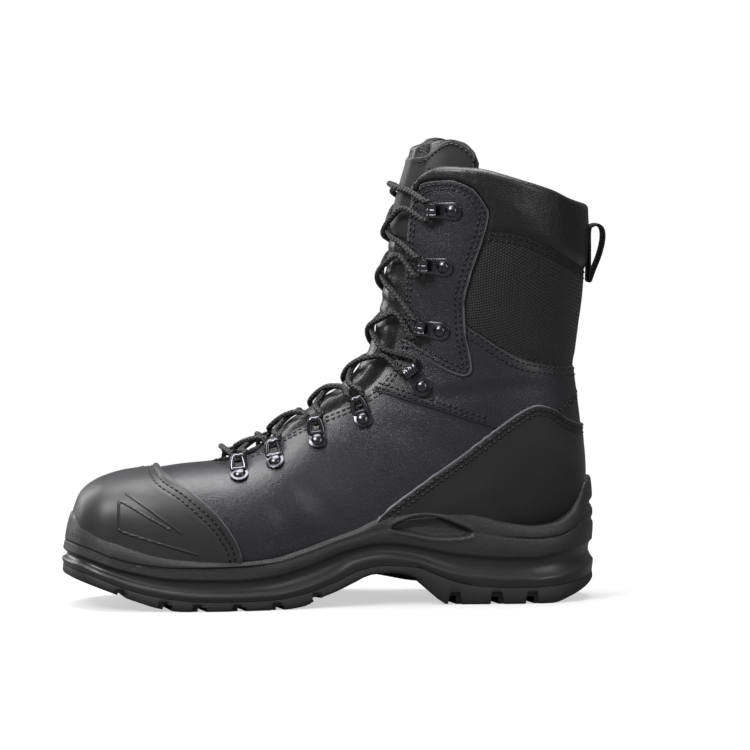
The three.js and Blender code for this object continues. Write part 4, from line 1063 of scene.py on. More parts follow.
class BOOT_OT_overlays(bpy.types.Operator):
    """Makes the toe cap, heel counter and eyestays, each a panel of leather on the upper"""
    bl_idname = "boot.overlays"
    bl_label = "Toe cap, counter and eyestays"

    def execute(self, context):
        step = sizes().fineness / MM
        counter_line = edge_line(COUNTER_EDGE, COLLAR_HEIGHT)

        def above_rim(point):
            return point[..., 2] - (rim_height(point[..., 0], point[..., 1]) - 5)

        bead_line = edge_line(CAP_BEAD, INSTEP_HEIGHT)
        folds = [edge_line(fold, INSTEP_HEIGHT) for fold in CAP_FOLDS]

        def in_cap(s, t):
            point = skin(s, t)
            return np.minimum(-line_distance(point[..., (0, 2)], bead_line), above_rim(point))

        # From behind: a rolled bead, a row of stitches, a low ridge, a second row, and then the cap
        def cap_out(s, t):
            edge = -line_distance(skin(s, t)[..., (0, 2)], bead_line)
            out = SEAT_GAP + LEATHER + 0.9 * hill(edge, 1.3, 1.3) - 0.8 * hill(edge, 3.9, 0.9)
            return out - 0.7 * hill(edge, 7.0, 0.9) + 0.35 * hill(edge, 8.8, 1.3)

        def cap_relief(s, t):
            point = skin(s, t)
            near = np.min([np.abs(line_distance(point[..., (0, 2)], fold)) for fold in folds], axis=0)
            return near + 6 * (1 - ease((np.abs(point[..., 1] + 8) - 9) / 8))

        fine = 0.7 * step
        section, turn = patch(fine, (0.9, 10.2, 150), (0.4, 2 * math.pi - 0.4, 230))
        cap = panel("toe_cap_leather", section, turn, in_cap, cap_out, LEATHER + 0.5, 0.5, cap_relief)
        finish(cap, "cap", "scuff_cap", "toe_cap")

        def in_counter(s, t):
            point = skin(s, t)
            return np.minimum(-line_distance(point[..., (0, 2)], counter_line), above_rim(point))

        def counter_out(s, t):
            edge = -line_distance(skin(s, t)[..., (0, 2)], counter_line)
            furrow = sum(0.45 * hill(edge, row, 0.8) for row in EDGE_ROWS)
            bead = 0.6 * hill(edge, 0.9, 1.0)
            return SEAT_GAP + LEATHER + LEG_STEP * 0.4 + bead - furrow + 0.7 * ease((edge - 7) / 16)

        section, turn = patch(step, (10.4, 20.6, 200), (-2.0, 2.0, 200))
        counter = panel("heel_counter_leather", section, turn, in_counter, counter_out, LEATHER + 0.8, 0.6)
        finish(counter, "nubuck", "counter_leather", "heel_counter")

        eyestay_line = edge_line(EYESTAY, COLLAR_HEIGHT, 6, True)
        for side, name in ((-1, "inner"), (1, "outer")):
            section, aside = patch(step, (14.5, 25.9, 150), (0, 1.35, 60))
            turn = math.pi + side * (throat_angle(section) + aside)

            def in_stay(s, t):
                return line_distance(skin(s, t)[..., (0, 2)], eyestay_line, True)

            def stay_out(s, t):
                edge = in_stay(s, t)
                furrow = sum(0.4 * hill(edge, row, 0.7) for row in EDGE_ROWS)
                return SEAT_GAP + LEATHER + LEG_STEP * 0.5 + 0.45 * hill(edge, 1.0, 1.0) - furrow

            stay = panel("eyestay_leather_" + name, section, turn, in_stay, stay_out, LEATHER + 0.6, 0.6)
            if side > 0:
                choose(stay)
            finish(stay, "leather", "upper_leather", "eyestay_" + name)
        return {"FINISHED"}


# The bead behind the toe cap, and the thin raised lines pressed into each side of it
CAP_BEAD = table("at up", [
    [0.18, 0.74], [0.181, 0.641], [0.188, 0.606], [0.221, 0.555], [0.256, 0.485], [0.283, 0.420],
    [0.305, 0.344], [0.318, 0.276], [0.323, 0.2],
])
CAP_FOLDS = [table("at up", rows) for rows in (
    [[0.103, 0.496], [0.1000, 0.486], [0.0995, 0.440], [0.0995, 0.385], [0.104, 0.366], [0.150, 0.330],
     [0.20, 0.292], [0.240, 0.262]],
    [[0.103, 0.496], [0.118, 0.478], [0.155, 0.425], [0.193, 0.373]],
    [[0.114, 0.527], [0.140, 0.485], [0.175, 0.425], [0.212, 0.356]],
)]


class BOOT_OT_cuff(bpy.types.Operator):
    """Makes the padded collar: a flat sewn band, the padding above it, and the roll over the top edge"""
    bl_idname = "boot.cuff"
    bl_label = "Padded collar"

    def execute(self, context):
        step = sizes().fineness / MM
        across = int(150 / step)
        share = np.linspace(-1, 1, 2 * across + 1)
        roll, inner = 3.4, -5.0  # how high the padding rolls over, and where it ends inside the form
        collar = edge_line(COLLAR_LINE, COLLAR_HEIGHT) - [0, roll]
        lower = edge_line(CUFF_EDGE, COLLAR_HEIGHT)

        def turn_of(s):
            return share * (math.pi - throat_angle(s) - 0.01)

        start = np.full(share.shape, 20.0)
        top = end_section(turn_of, collar, start, LAST)
        bottom = end_section(turn_of, lower, start, LAST)
        f = np.linspace(0, 1, int(52 / step))[:, None]
        section = bottom + (top - bottom) * f
        turn = turn_of(section)
        point = skin(section, turn)
        flat = point[..., (0, 2)]
        rise = line_distance(flat, lower)
        clear = -line_distance(flat, EYESTAY_LINE, True)
        swell = sizes().cuff_padding / MM
        pad = ease((rise + 0.4) / 4.5)
        # Soft leather puckers where it is pulled over the roll, most of all in front
        down = (1 - f) * np.linalg.norm(skin(top, turn[-1]) - skin(bottom, turn[-1]), axis=-1)
        lengthways = turn * 45 + 2.2 * np.sin(flat[..., 0] / 5.5)
        front = 1 - ease((flat[..., 0] + 52) / 70)
        pucker = 0.26 * np.sin(lengthways * 1.55 + down * 0.25) * hill(down, 4.5, 5.5) * (0.25 + 0.75 * front)
        slack = 0.3 * np.sin(flat[..., 0] / 7 + flat[..., 1] / 16 + rise / 9) * hill(rise, 14, 12)
        out = 1.2 + pad * (swell + 0.4 * np.sin(math.pi * f) + pucker + slack)
        out = out * ease((clear + 0.6) / 2.4) + 0.1
        outer = off_skin(section, turn, out)
        normal = outward(section[-1], turn[-1])
        tall = unit(skin(section[-1] + 0.1, turn[-1]) - skin(section[-1] - 0.3, turn[-1]))
        centre = off_skin(section[-1], turn[-1], (out[-1] + inner) / 2)
        half = (out[-1] - inner) / 2
        over = [centre + normal * (half * math.cos(a))[:, None] + tall * (roll * math.sin(a))
                for a in np.linspace(0, math.pi, 13)[1:]]
        within = [off_skin(section[-1] - d, turn[-1], inner + d * 0.35) for d in np.linspace(0.3, 5, 12)]
        points = np.concatenate([outer, over, within])
        cuff = lay("collar_padding", points[:, ::-1])
        keep = (clear[:-1, :-1] + clear[1:, 1:]) / 2 > -5
        rest = np.zeros((len(over) + len(within), keep.shape[1]), bool)
        drop_faces(cuff, np.concatenate([~keep, rest])[:, ::-1].ravel())
        modify(cuff, "SOLIDIFY", thickness=1.0 * MM, offset=-1.0)
        bevel(cuff, 0.4 * MM, 2, 60)
        smooth(cuff, 55)
        finish(cuff, "soft_leather", "cuff_leather", "collar_cuff")

        # A flat band of cloth is sewn on under the cuff's lower edge
        def in_band(s, t):
            flat = skin(s, t)[..., (0, 2)]
            gap = line_distance(flat, lower)
            behind = behind_eyestay(flat, 1.0)
            return np.minimum(np.minimum(gap + 7.4, 1.5 - gap), behind)

        section, turn = patch(step, (18.5, 25.9, 110), (-2.1, 2.1, 190))

        def band_out(s, t):
            return 1.05 + 0.15 * ease(in_band(s, t) / 2)

        band = panel("collar_band", section, turn, in_band, band_out, 0.9, 0.3)
        finish(band, "webbing", "webbing")
        return {"FINISHED"}


def tongue_angle(section):
    half = along(TONGUE_SIDE, "half", section) * TONGUE_WIDTH
    return np.minimum(half / at_section("half", section), 1.25)


def tongue_out(section, share):
    """The tongue swells up between the throat's edges and lies under them."""
    in_throat = np.abs(share) * tongue_angle(section) / np.maximum(throat_angle(section), 1e-3)
    swell = 1 - ease((in_throat - 0.45) / 0.4)
    started = ease((section - 8.6) / 1.6)
    under = -(UPPER_WALL + 4 * SEAT_GAP)
    folds = 0.35 * np.sin(section * 6.3) * (1 - ease((section - 20) / 2))
    lean = 4.5 * ease((section - 21.8) / 4.6) * (1 - ease((np.abs(share) - 0.35) / 0.5))
    return under + (0.4 * UPPER_WALL + folds - under) * swell * started - lean


class BOOT_OT_tongue(bpy.types.Operator):
    """Makes the padded tongue"""
    bl_idname = "boot.tongue"
    bl_label = "Tongue"

    def execute(self, context):
        share = np.linspace(-1, 1, 79)
        line = side_line(TONGUE_TOP, COLLAR_HEIGHT)

        def turn_of(s):
            return math.pi + share * tongue_angle(s)

        top = end_section(turn_of, line, np.full(share.shape, 22.0), LAST)
        rows = [np.full(share.shape, s) for s in np.linspace(8.1, 20, 110)]
        rows += [20 + (top - 20) * f for f in np.linspace(0, 1, 60)[1:]]
        section = np.array(rows)
        turn = turn_of(section)
        tongue = lay("tongue_leather", off_skin(section, turn, tongue_out(section, share))[:, ::-1])
        modify(tongue, "SOLIDIFY", thickness=4.4 * MM, offset=-1.0)
        bevel(tongue, 1.8 * MM, 4, 60)
        smooth(tongue, 60)
        finish(tongue, "soft_leather", "upper_leather", "tongue")

        # A firmer facing covers its front, and its edge arches from the crest up to both sides
        arch = edge_line(FACING_EDGE, COLLAR_HEIGHT)

        def share_of(s, t):
            return (t - math.pi) / tongue_angle(s)

        def in_facing(s, t):
            edge = (1 - np.abs(share_of(s, t))) * 40 - 1.5
            return np.minimum(-line_distance(skin(s, t)[..., (0, 2)], arch), edge)

        def facing_out(s, t):
            return tongue_out(s, share_of(s, t)) + 0.7 + 0.35 * hill(in_facing(s, t), 1.2, 1.0)

        step = sizes().fineness / MM
        section, turn = patch(step, (21.0, 26.9, 80), (math.pi - 1.3, math.pi + 1.3, 110))
        facing = panel("tongue_facing", section, turn, in_facing, facing_out, 1.0, 0.4)
        finish(facing, "nubuck", "upper_leather")
        return {"FINISHED"}


# The window moulded into the arch, seen from the side, from the toe's tip and the floor
ARCH_WINDOW = [
    (191.6, 44.8), (196.9, 48.8), (208.6, 51.7), (220.2, 50), (231.9, 45.4), (237.2, 42.5), (234.8, 39.7),
    (217.3, 39.1), (199.8, 42.5),
]
WINDOW_PLACE, WINDOW_DEPTH = (TOE - 4, -0.5), 4.0
# The tread's gaps across the sole, as shares of its length, and how much of a thin sole they may cut
SIDE_GAPS = [0.098, 0.177, 0.239, 0.312, 0.386, 0.462, 0.722, 0.80, 0.866]
THIN_CUT = 0.45
CENTRE_GAPS = [0.144, 0.214, 0.282, 0.355, 0.43, 0.761, 0.833, 0.905]
CHANNELS = [[0.09, 0.50], [0.67, 0.94]]
HEEL_FROM = 0.6
# How deep and how wide the gaps open out at the edge
FRONT_NOTCH, HEEL_NOTCH = (4.8, 6.8), (7.2, 8.0)
NOTCH_SHARE = 0.78


def cube():
    deselect()
    bpy.ops.mesh.primitive_cube_add(size=1)
    return bpy.context.object


def clockwise(points):
    x, y = points[:, 0], points[:, 1]
    return np.sum(x * np.roll(y, -1) - y * np.roll(x, -1)) < 0


class BOOT_OT_midsole(bpy.types.Operator):
    """Makes the foam midsole with its ridges, its grained band and its raised rim"""
    bl_idname = "boot.midsole"
    bl_label = "Midsole"

    def execute(self, context):
        count = 640
        points, out = outline_points(count)
        x, y = points[:, 0], points[:, 1]
        at = (x - TOE) / SOLE_LENGTH
        toe = 1 - ease(at / 0.12)
        sole, ridge, groove, bumper = (side_height(n, x) for n in ("sole", "ridge", "groove", "bumper"))
        rim = rim_height(x, y)
        front = 1 - ease((at - 0.33) / 0.08)
        shaft = bpy.data.objects["upper_leather"].data
        tree = BVHTree.FromPolygons([v.co for v in shaft.vertices], [p.vertices for p in shaft.polygons])

        def to_upper(height):
            """How far inwards the upper lies from the outline."""
            reach = []
            for p, o, z in zip(points, out, height):
                start = Vector((p[0] + o[0] * 5, p[1] + o[1] * 5, z)) * MM
                hit = tree.ray_cast(start, Vector((-o[0], -o[1], 0)), 0.05)
                reach.append((hit[3] / MM - 5) if hit[0] else 9.0)
            return np.array(reach)

        lean = 0.3 * TOE_LEAN * toe
        levels = [
            (sole + SEAT_GAP, -0.25 * SIDE_RELIEF), (blend(sole, ridge, 0.5), -0.08 * SIDE_RELIEF),
            (ridge - 1.2, 0 * x),
            (ridge - 0.3, -0.05), (ridge + 0.4, -0.6), (blend(ridge, groove, 0.22), -0.62 * SIDE_RELIEF),
            (blend(ridge, groove, 0.42), -0.93 * SIDE_RELIEF),
            (blend(ridge, groove, 0.62), -0.98 * SIDE_RELIEF),
            (blend(ridge, groove, 0.82), -0.85 * SIDE_RELIEF), (groove - 0.5, -0.70 * SIDE_RELIEF),
            (groove + 0.3, -0.42 * SIDE_RELIEF), (groove + 1.2, -0.2 * SIDE_RELIEF),
        ]
        dent = 0.9 * front + 0.7 * ease((at - 0.79) / 0.06)
        flank = -0.2 * SIDE_RELIEF
        for f in np.linspace(0.08, 0.92, 12):
            swell = 0.5 * math.sin(math.pi * f) * (1 - front)
            levels.append((blend(groove + 1.2, bumper, f), flank - lean * f + swell))
        leaning = flank - lean
        levels += [(bumper - 0.7, leaning), (bumper, leaning - dent), (bumper + 0.8, leaning - 0.2 * dent)]
        for f in np.linspace(0.06, 0.95, 20):
            reach = blend(leaning, -0.6 * RIM_LEAN - TOE_LEAN * toe, f) + 0.35 * math.sin(math.pi * f)
            levels.append((blend(bumper + 0.8, rim - 1.4, f), reach))
        top_out = -RIM_LEAN - TOE_LEAN * toe
        near = np.minimum(-to_upper(rim - 1) - 0.35, top_out - 1.0)
        deep = -to_upper(rim - 5) - 0.6
        levels += [(rim - 1.0, top_out + 0.7), (rim - 0.25, top_out + 0.1), (rim, blend(top_out, near, 0.35)),
                   (rim - 0.3, blend(top_out, near, 0.8)), (rim - 1.6, near),
                   (rim - 5, np.minimum(deep, near))]
        window = smooth_line(np.array(ARCH_WINDOW) + WINDOW_PLACE, 5, True)
        rings = []
        for height, reach in levels:
            laid = points + out * (reach + 0 * x)[:, None]
            depth = line_distance(np.stack([laid[:, 0], height], -1), window, True)
            cut = WINDOW_DEPTH * ease((depth + 0.4) / 1.8) * (points[:, 1] < 0)
            lip = 0.5 * hill(depth, -1.3, 0.9)
            back = hill(points[:, 1], 0, 13) * (at > 0.9)
            grip = 2.2 * hill(height, 55.5, 1.9) + 1.3 * hill(height, 46, 1.5)
            laid = laid + out * (lip - cut - grip * back)[:, None]
            rings.append(np.stack([laid[:, 0], laid[:, 1], height], -1))
        rings = np.array(rings)
        bottom = np.stack([(x + x.mean()) / 2, y * 0.3, sole + 2], -1)
        under = np.stack([x * 0 + x.mean(), y * 0, sole * 0 + sole.mean() + 6], -1)
        inside = points - out * 12
        cap = np.stack([inside[:, 0], inside[:, 1], rim * 0 + 26], -1)
        rings = np.concatenate([[under], [bottom], rings, [cap], [under + [0, 0, 4]]])
        body = lay("midsole_foam", rings[:, ::-1] if clockwise(points) else rings, True)
        for kind in ("foam", "foam_grained"):
            body.data.materials.append(material(kind))
        weld(body, 1e-5)
        centres = np.empty(len(body.data.polygons) * 3, np.float32)
        body.data.polygons.foreach_get("center", centres)
        centres = centres.reshape(-1, 3) / MM
        grained = centres[:, 2] > side_height("groove", centres[:, 0]) + 0.9
        body.data.polygons.foreach_set("material_index", grained.astype(np.int32))
        smooth(body, 60)
        finish(body, None, "midsole_pu", "midsole")
        return {"FINISHED"}


class BOOT_OT_outsole(bpy.types.Operator):
    """Makes the rubber outsole and cuts its lugs"""
    bl_idname = "boot.outsole"
    bl_label = "Outsole"

    def execute(self, context):
        count = 240
        points, out = outline_points(count)
        x = points[:, 0]
        tread, sole = tread_height(x), side_height("sole", x)
        half = count // 2
        across = np.linspace(0, 1, 17)[None, :, None]

        def ring_at(reach, height):
            return np.concatenate([points + out * reach * SIDE_RELIEF, height[:, None]], -1)

        def strip(ring):
            """A surface across the sole, from a ring's inner edge to its outer one."""
            left, right = ring[:half + 1, None], ring[(-np.arange(half + 1)) % count, None]
            return left * (1 - across) + right * across

        bottom, top = strip(ring_at(-0.5, tread)), strip(ring_at(-0.2, sole))
        side = np.array([
            ring_at(-0.5, tread), ring_at(-0.22, tread + 0.1 * LUG_DEPTH),
            ring_at(-0.1, tread + 0.3 * LUG_DEPTH),
            ring_at(-0.1, (tread + sole) / 2), ring_at(-0.2, sole),
        ])
        parts = [lay("outsole_bottom", bottom), lay("outsole_top", top), lay("outsole_side", side, True)]
        body = join("outsole_rubber", parts)
        weld(body, 2e-5)
        face_out(body)

        cutters = []
        middle = CENTRE_LUG_WIDTH / 2

        def heights(here):
            """Where the tread lies, and how thick the sole is over it."""
            low = float(tread_height(np.array(here)))
            return low, float(side_height("sole", np.array(here))) - low

        def depth_at(here):
            return min(LUG_DEPTH, THIN_CUT * heights(here)[1])

        def gap(at, from_y, to_y, skew):
            here = TOE + at * SOLE_LENGTH
            slope = math.atan2(heights(here + 3)[0] - heights(here - 3)[0], 6)
            cutter, tall = cube(), 20.0
            cutter.data.transform(Matrix.Diagonal((LUG_GAP, abs(to_y - from_y), tall, 1)))
            for v in cutter.data.vertices:
                if v.co.z > 0:
                    v.co.x *= 0.72  # the gap narrows upwards
            for step in (
                Matrix.Translation((0, 0, depth_at(here) - tall / 2)),
                Matrix.Rotation(-slope, 4, "Y"),
                Matrix.Rotation(skew, 4, "Z"),
                Matrix.Translation((here, (from_y + to_y) / 2, heights(here)[0])),
                Matrix.Scale(MM, 4),
            ):
                cutter.data.transform(step)
            cutters.append(cutter)

        def notch(at, side):
            """The gap opens out at the sole's edge, deeper at the heel."""
            here = TOE + at * SOLE_LENGTH
            low, thick = heights(here)
            edge = (points[np.abs(points[:, 0] - here) < 4, 1] * side).max() * side
            deepest, wide = HEEL_NOTCH if at > HEEL_FROM else FRONT_NOTCH
            deep = min(deepest, NOTCH_SHARE * thick)
            cutter = cube()
            for v in cutter.data.vertices:
                upper, outer = v.co.z > 0, v.co.y * side > 0
                v.co.x = here + v.co.x * wide * (0.7 if upper else 1.5)
                v.co.y = edge + side * (8 if outer else -2.0 if upper else -4.5)
                v.co.z = low + (deep if upper else -8)
            cutter.data.transform(Matrix.Scale(MM, 4))
            cutters.append(cutter)

        for at in SIDE_GAPS:
            notch(at, -1)
            notch(at, 1)
            gap(at, -0.6 * BALL_WIDTH, -middle, LUG_SKEW * DEGREE)
            gap(at, middle, 0.6 * BALL_WIDTH, -LUG_SKEW * DEGREE)
        for at in CENTRE_GAPS:
            gap(at, -middle, middle, 0)
        for start, end in CHANNELS:
            for at_y in (-middle, middle):
                xs = TOE + np.linspace(start, end, 24) * SOLE_LENGTH
                low = tread_height(xs)
                high = low + np.array([depth_at(v) for v in xs])
                corners = [(-0.5, low - 6), (0.5, low - 6), (0.36, high), (-0.36, high)]
                rows = [np.stack([xs, at_y + aside * CHANNEL_WIDTH + 0 * xs, z], -1) for aside, z in corners]
                cutters.append(lay("channel", capped(np.stack(rows, 1)), True, 1e-6))
        cutter = join("tread_gaps", cutters)
        face_out(cutter)
        modify(body, "BOOLEAN", operation="DIFFERENCE", solver="EXACT", object=cutter, use_self=True)
        bpy.data.objects.remove(cutter)
        bevel(body, 0.45 * MM, 2, 38)
        smooth(body, 38)
        finish(body, "rubber", "outsole_rubber", "outsole")
        for node in frame["nodes"].values():
            if node.name == "insole":
                node.data.materials.clear()
                node.data.materials.append(material("lining"))
        return {"FINISHED"}


class Fitting:
    """A ring or hook: the rivet's section and angle from the crest, and how level it points.

    drop is how many sections lower the lace crosses above it, because the leg's sections rise to the front.
    """

    def __init__(self, name, section, angle, level, drop, hook):
        self.name, self.section, self.angle = name, section, angle
        self.level, self.drop, self.hook = level, drop, hook
        on_stay = section > 17
        self.seat = SEAT_GAP + (LEATHER + 0.5 if on_stay else LEG_STEP if hook else 0)


FITTINGS = [Fitting(*row) for row in (
    ("1", 8.42, 37, 0, 0, False), ("2", 9.5, 38, 0, 0, False), ("3", 10.75, 40, 0, 0, False),
    ("4", 12.2, 43, 0, 0.6, False),
    ("5", 15.0, 53, 0, 1.6, True), ("6", 18.15, 57, 0.8, 1.4, True), ("7", 21.35, 59, 0.9, 1.5, True),
    ("8", 24.0, 60, 0.9, 0, True),
)]


def one(section, turn, out):
    return off_skin(np.array([float(section)]), np.array([float(turn)]), np.array([float(out)]))[0]


def fitting_frame(fitting, side, out):
    """From millimetres in a fitting's own directions to metres: X to the throat, Z away from the boot."""
    section, level = fitting.section, fitting.level
    turn = math.pi + side * fitting.angle * DEGREE
    up = Vector(outward(np.array([section]), np.array([turn]))[0])
    step = 0.02 * side
    around = Vector(one(section, turn - step, 0) - one(section, turn + step, 0)).normalized()
    forwards = Vector((-1, 0, 0))
    forwards = forwards - up * forwards.dot(up)
    forwards.z = 0
    forwards.normalize()
    ahead = around.lerp(forwards, level)
    ahead = (ahead - up * ahead.dot(up)).normalized()
    across = up.cross(ahead).normalized()
    m = Matrix((ahead, across, up)).transposed().to_4x4()
    m.translation = Vector(one(section, turn, out))
    return Matrix.Scale(MM, 4) @ m


def plate(length_back, length_front, half_back, half_front, thick):
    """A flat plate with a round back end, with eased edges."""
    turns = np.linspace(math.pi / 2, 3 * math.pi / 2, 15)
    back = [(-length_back + half_back + half_back * math.cos(a), half_back * math.sin(a)) for a in turns]
    outline = back + [(length_front, -half_front), (length_front, half_front)]
    deselect()
    bpy.ops.mesh.primitive_circle_add(vertices=len(outline), radius=1, fill_type="NGON")
    obj = bpy.context.object
    for vertex, (x, y) in zip(obj.data.vertices, outline):
        vertex.co = (x, y, 0)
    modify(obj, "SOLIDIFY", thickness=thick, offset=1.0)
    face_out(obj)
    bevel(obj, 0.3, 2, 40)
    return obj


def rivet_head(radius, base):
    deselect()
    bpy.ops.mesh.primitive_uv_sphere_add(segments=32, ring_count=16, radius=radius)
    obj = bpy.context.object
    for v in obj.data.vertices:
        v.co.z = base + (v.co.z * 0.56 if v.co.z > 0 else v.co.z * 0.1)
    return obj


def bar_along(points, radius, width):
    """A closed bar along points, with half its height and half its width."""
    p = np.asarray(points, float)
    tangent = unit(np.roll(p, -1, 0) - np.roll(p, 1, 0))
    side = unit(np.cross(tangent, [0, 0, 1.0]))
    up = unit(np.cross(side, tangent))
    angles = np.linspace(0, 2 * math.pi, 12, endpoint=False)
    wide, high = np.cos(angles) * width, np.sin(angles) * radius
    rows = p[:, None] + side[:, None] * wide[None, :, None] + up[:, None] * high[None, :, None]
    obj = lay("bar", np.concatenate([rows, rows[:1]]) / MM, True, 1e-5)
    face_out(obj)
    return obj


# The hook's bent strap in cross-section, as shares of its half width and half thickness
HOOK_SECTION = [
    (-1, -1), (-0.62, -1), (-0.5, -1), (0.5, -1), (0.62, -1), (1, -1), (1, 1), (0.62, 1), (0.5, 0.55),
    (0.2, 0.55), (0.1, 1), (-0.1, 1), (-0.2, 0.55), (-0.5, 0.55), (-0.62, 1), (-1, 1),
]


def ribbon(line, tangent, section, width, thick):
    """Rows of a band along a line of the side view, with its cross-section, half width and half thickness."""
    tangent = unit(tangent)
    normal = np.stack([-tangent[:, 1], tangent[:, 0]], -1)
    across, depth = np.array(section, float).T
    flat = line[:, None] + normal[:, None] * (depth * thick)[None, :, None]
    width = np.broadcast_to(width, len(line))
    return np.stack([flat[..., 0], width[:, None] * across, flat[..., 1]], -1)


class BOOT_OT_fittings(bpy.types.Operator):
    """Makes the riveted lace rings and hooks, one of each, and sets eight copies of each"""
    bl_idname = "boot.fittings"
    bl_label = "Lace rings and hooks"

    def execute(self, context):
        foot = plate(5.5, 5.0, 5.3, 4.4, 1.2)
        head = rivet_head(3.7, 1.2)
        tilt = 28 * DEGREE
        corners = [(0.9, -3.7), (7.6, -2.6), (8.0, 0), (7.6, 2.6), (0.9, 3.7), (0.2, 2.2), (0.2, -2.2)]
        flat = smooth_line(np.array(corners), 8, True)
        hoop = [(3.9 + x * math.cos(tilt), y, 1.3 + x * math.sin(tilt)) for x, y in flat]
        ring = join("ring", [foot, head, bar_along(hoop, 1.0, 1.5)])
        smooth(ring, 45)

        foot = plate(5.9, 7.0, 5.2, 4.6, 1.2)
        head = rivet_head(3.5, 1.2)
        bend = [(4.6, 0.6), (9.0, 0.6), (12.2, 0.8), (13.3, 2.0), (13.5, 3.3), (12.9, 4.9), (11.6, 5.7),
                (9.2, 5.9), (7.8, 5.7)]
        line = smooth_line(np.array(bend), 5)
        widths = np.interp(np.arange(len(line)), [0, 12, 24, len(line) - 4, len(line) - 1],
                           [4.3, 4.3, 3.9, 3.9, 2.9])
        rows = ribbon(line, np.gradient(line, axis=0), HOOK_SECTION, widths, -0.62)
        strap = lay("strap", capped(rows) / MM, True, 1e-5)
        face_out(strap)
        bevel(strap, 0.22, 2, 40)
        hook = join("hook", [foot, head, strap])
        smooth(hook, 45)

        for fitting in FITTINGS:
            kind, pattern = ("hook", hook) if fitting.hook else ("ring", ring)
            for side, word in ((-1, "inner"), (1, "outer")):
                name = "%s_%s_%s" % (kind, fitting.name, word)
                piece = copied(pattern, "fitting_" + name, fitting_frame(fitting, side, fitting.seat))
                finish(piece, "metal", "dark_metal", "lace_" + name)
        for pattern in (ring, hook):
            bpy.data.objects.remove(pattern)
        return {"FINISHED"}


def tube(name, path, radius, sides=14):
    """A round cord along points in millimetres, with its own turn-free frame, and lengths as its UV map."""
    p = np.asarray(path, float)
    tangent = unit(np.gradient(p, axis=0))
    side = unit(np.cross(tangent[0], [0.3, 0.2, 0.9]))
    sides_list = []
    for t in tangent:
        side = unit(side - t * (side @ t))
        sides_list.append(side)
    side = np.array(sides_list)
    up = np.cross(tangent, side)
    angles = np.linspace(0, 2 * math.pi, sides, endpoint=False)
    ring = side[:, None] * np.cos(angles)[None, :, None] + up[:, None] * np.sin(angles)[None, :, None]
    rows = p[:, None] + ring * radius
    return lay(name, capped(rows), True, 2e-5)


# How far the upper run bows over the lower one where they cross, in lace radii
LACE_BOW = 1.24


def lace_route(side):
    """Half of the lace, from the lowest ring on one side up to its tucked end: points in millimetres."""
    radius = sizes().lace_diameter / MM / 2
    lift = 1.2 + 2 * SEAT_GAP + radius
    over = LACE_BOW * radius

    def through(fitting):
        """Round the back of a ring or hook, from its lower side to its upper side."""
        m = fitting_frame(fitting, side, fitting.seat)
        upwards = one(min(fitting.section + 0.5, LAST), math.pi, 0) - one(fitting.section - 0.5, math.pi, 0)
        y = 1.0 if np.array(m.to_3x3() @ Vector((0, 1, 0))) @ upwards > 0 else -1.0
        bend = HOOK_BEND if fitting.hook else RING_BEND
        return [np.array(m @ Vector((a, b * y, c))) / MM for a, b, c in bend]

    def angle_after(fitting):
        turn = math.pi + fitting.angle * DEGREE
        around = np.linalg.norm(one(fitting.section, turn, 0) - one(fitting.section, turn - 0.1, 0)) / 0.1
        return fitting.angle * DEGREE - ((HOOK_REACH if fitting.hook else RING_REACH) + 3.5) / around

    points = through(FITTINGS[0])
    for lower, upper in zip(FITTINGS[:-1], FITTINGS[1:]):
        bow = 0.0 if side < 0 else over
        start, end = angle_after(lower), -angle_after(upper)
        for f in (0.18, 0.34, 0.5, 0.66, 0.82):
            section = lower.section + (upper.section - lower.section) * (f + float(ease(f))) / 2
            section -= lower.drop * math.sin(math.pi * f)
            turn = math.pi + side * (start + (end - start) * f)
            points.append(one(section, turn, lift + bow * math.sin(math.pi * f)))
        side = -side
        points += through(upper)
    last = FITTINGS[-1]
    bow, rise = (0.0, -0.9) if side < 0 else (over, -0.4)
    start, end = angle_after(last), -float(throat_angle(np.array(last.section + rise))) - 0.10
    for f in (0.18, 0.36, 0.54, 0.72, 0.88, 1.0):
        section = last.section + rise * f - last.drop * math.sin(math.pi * f)
        sink = 7.5 * float(ease((f - 0.66) / 0.34))
        turn = math.pi + side * (start + (end - start) * f)
        points.append(one(section, turn, lift - sink + bow * math.sin(math.pi * f)))
    return points


# The lace's way behind a hook and through a ring, in the fitting's own directions
HOOK_BEND = [
    (15.6, -5.4, 3.9), (12.6, -4.5, 3.5), (10.9, -2.5, 3.3), (10.4, 0, 3.25),
    (10.9, 2.5, 3.3), (12.6, 4.5, 3.5), (15.6, 5.4, 3.9),
]
RING_BEND = [
    (15.0, -4.2, 4.4), (12.3, -3.4, 3.6), (10.4, -2.0, 3.1), (9.5, 0, 3.0),
    (10.4, 2.0, 3.1), (12.3, 3.4, 3.6), (15.0, 4.2, 4.4),
]


class BOOT_OT_lace(bpy.types.Operator):
    """Runs the lace through the rings and hooks"""
    bl_idname = "boot.lace"
    bl_label = "Lace"

    def execute(self, context):
        inner, outer = np.array(lace_route(-1)), np.array(lace_route(1))
        # A straight bar joins the two lowest rings
        sag = np.array([-3.0, 0, 2.2])
        bar = [inner[0] + (outer[0] - inner[0]) * f + sag * math.sin(math.pi * f) for f in (0.25, 0.5, 0.75)]
        path = evenly(smooth_line(np.concatenate([inner[::-1], bar, outer]), 12), 1.2)
        lace = tube("lace_braid", path, sizes().lace_diameter / MM / 2)
        smooth(lace)
        names = ["lace_crossing_%d" % k for k in range(1, 8)] + ["lace_top_crossing", "lace_bottom_bar"]
        finish(lace, "lace", "lace", *names)
        return {"FINISHED"}


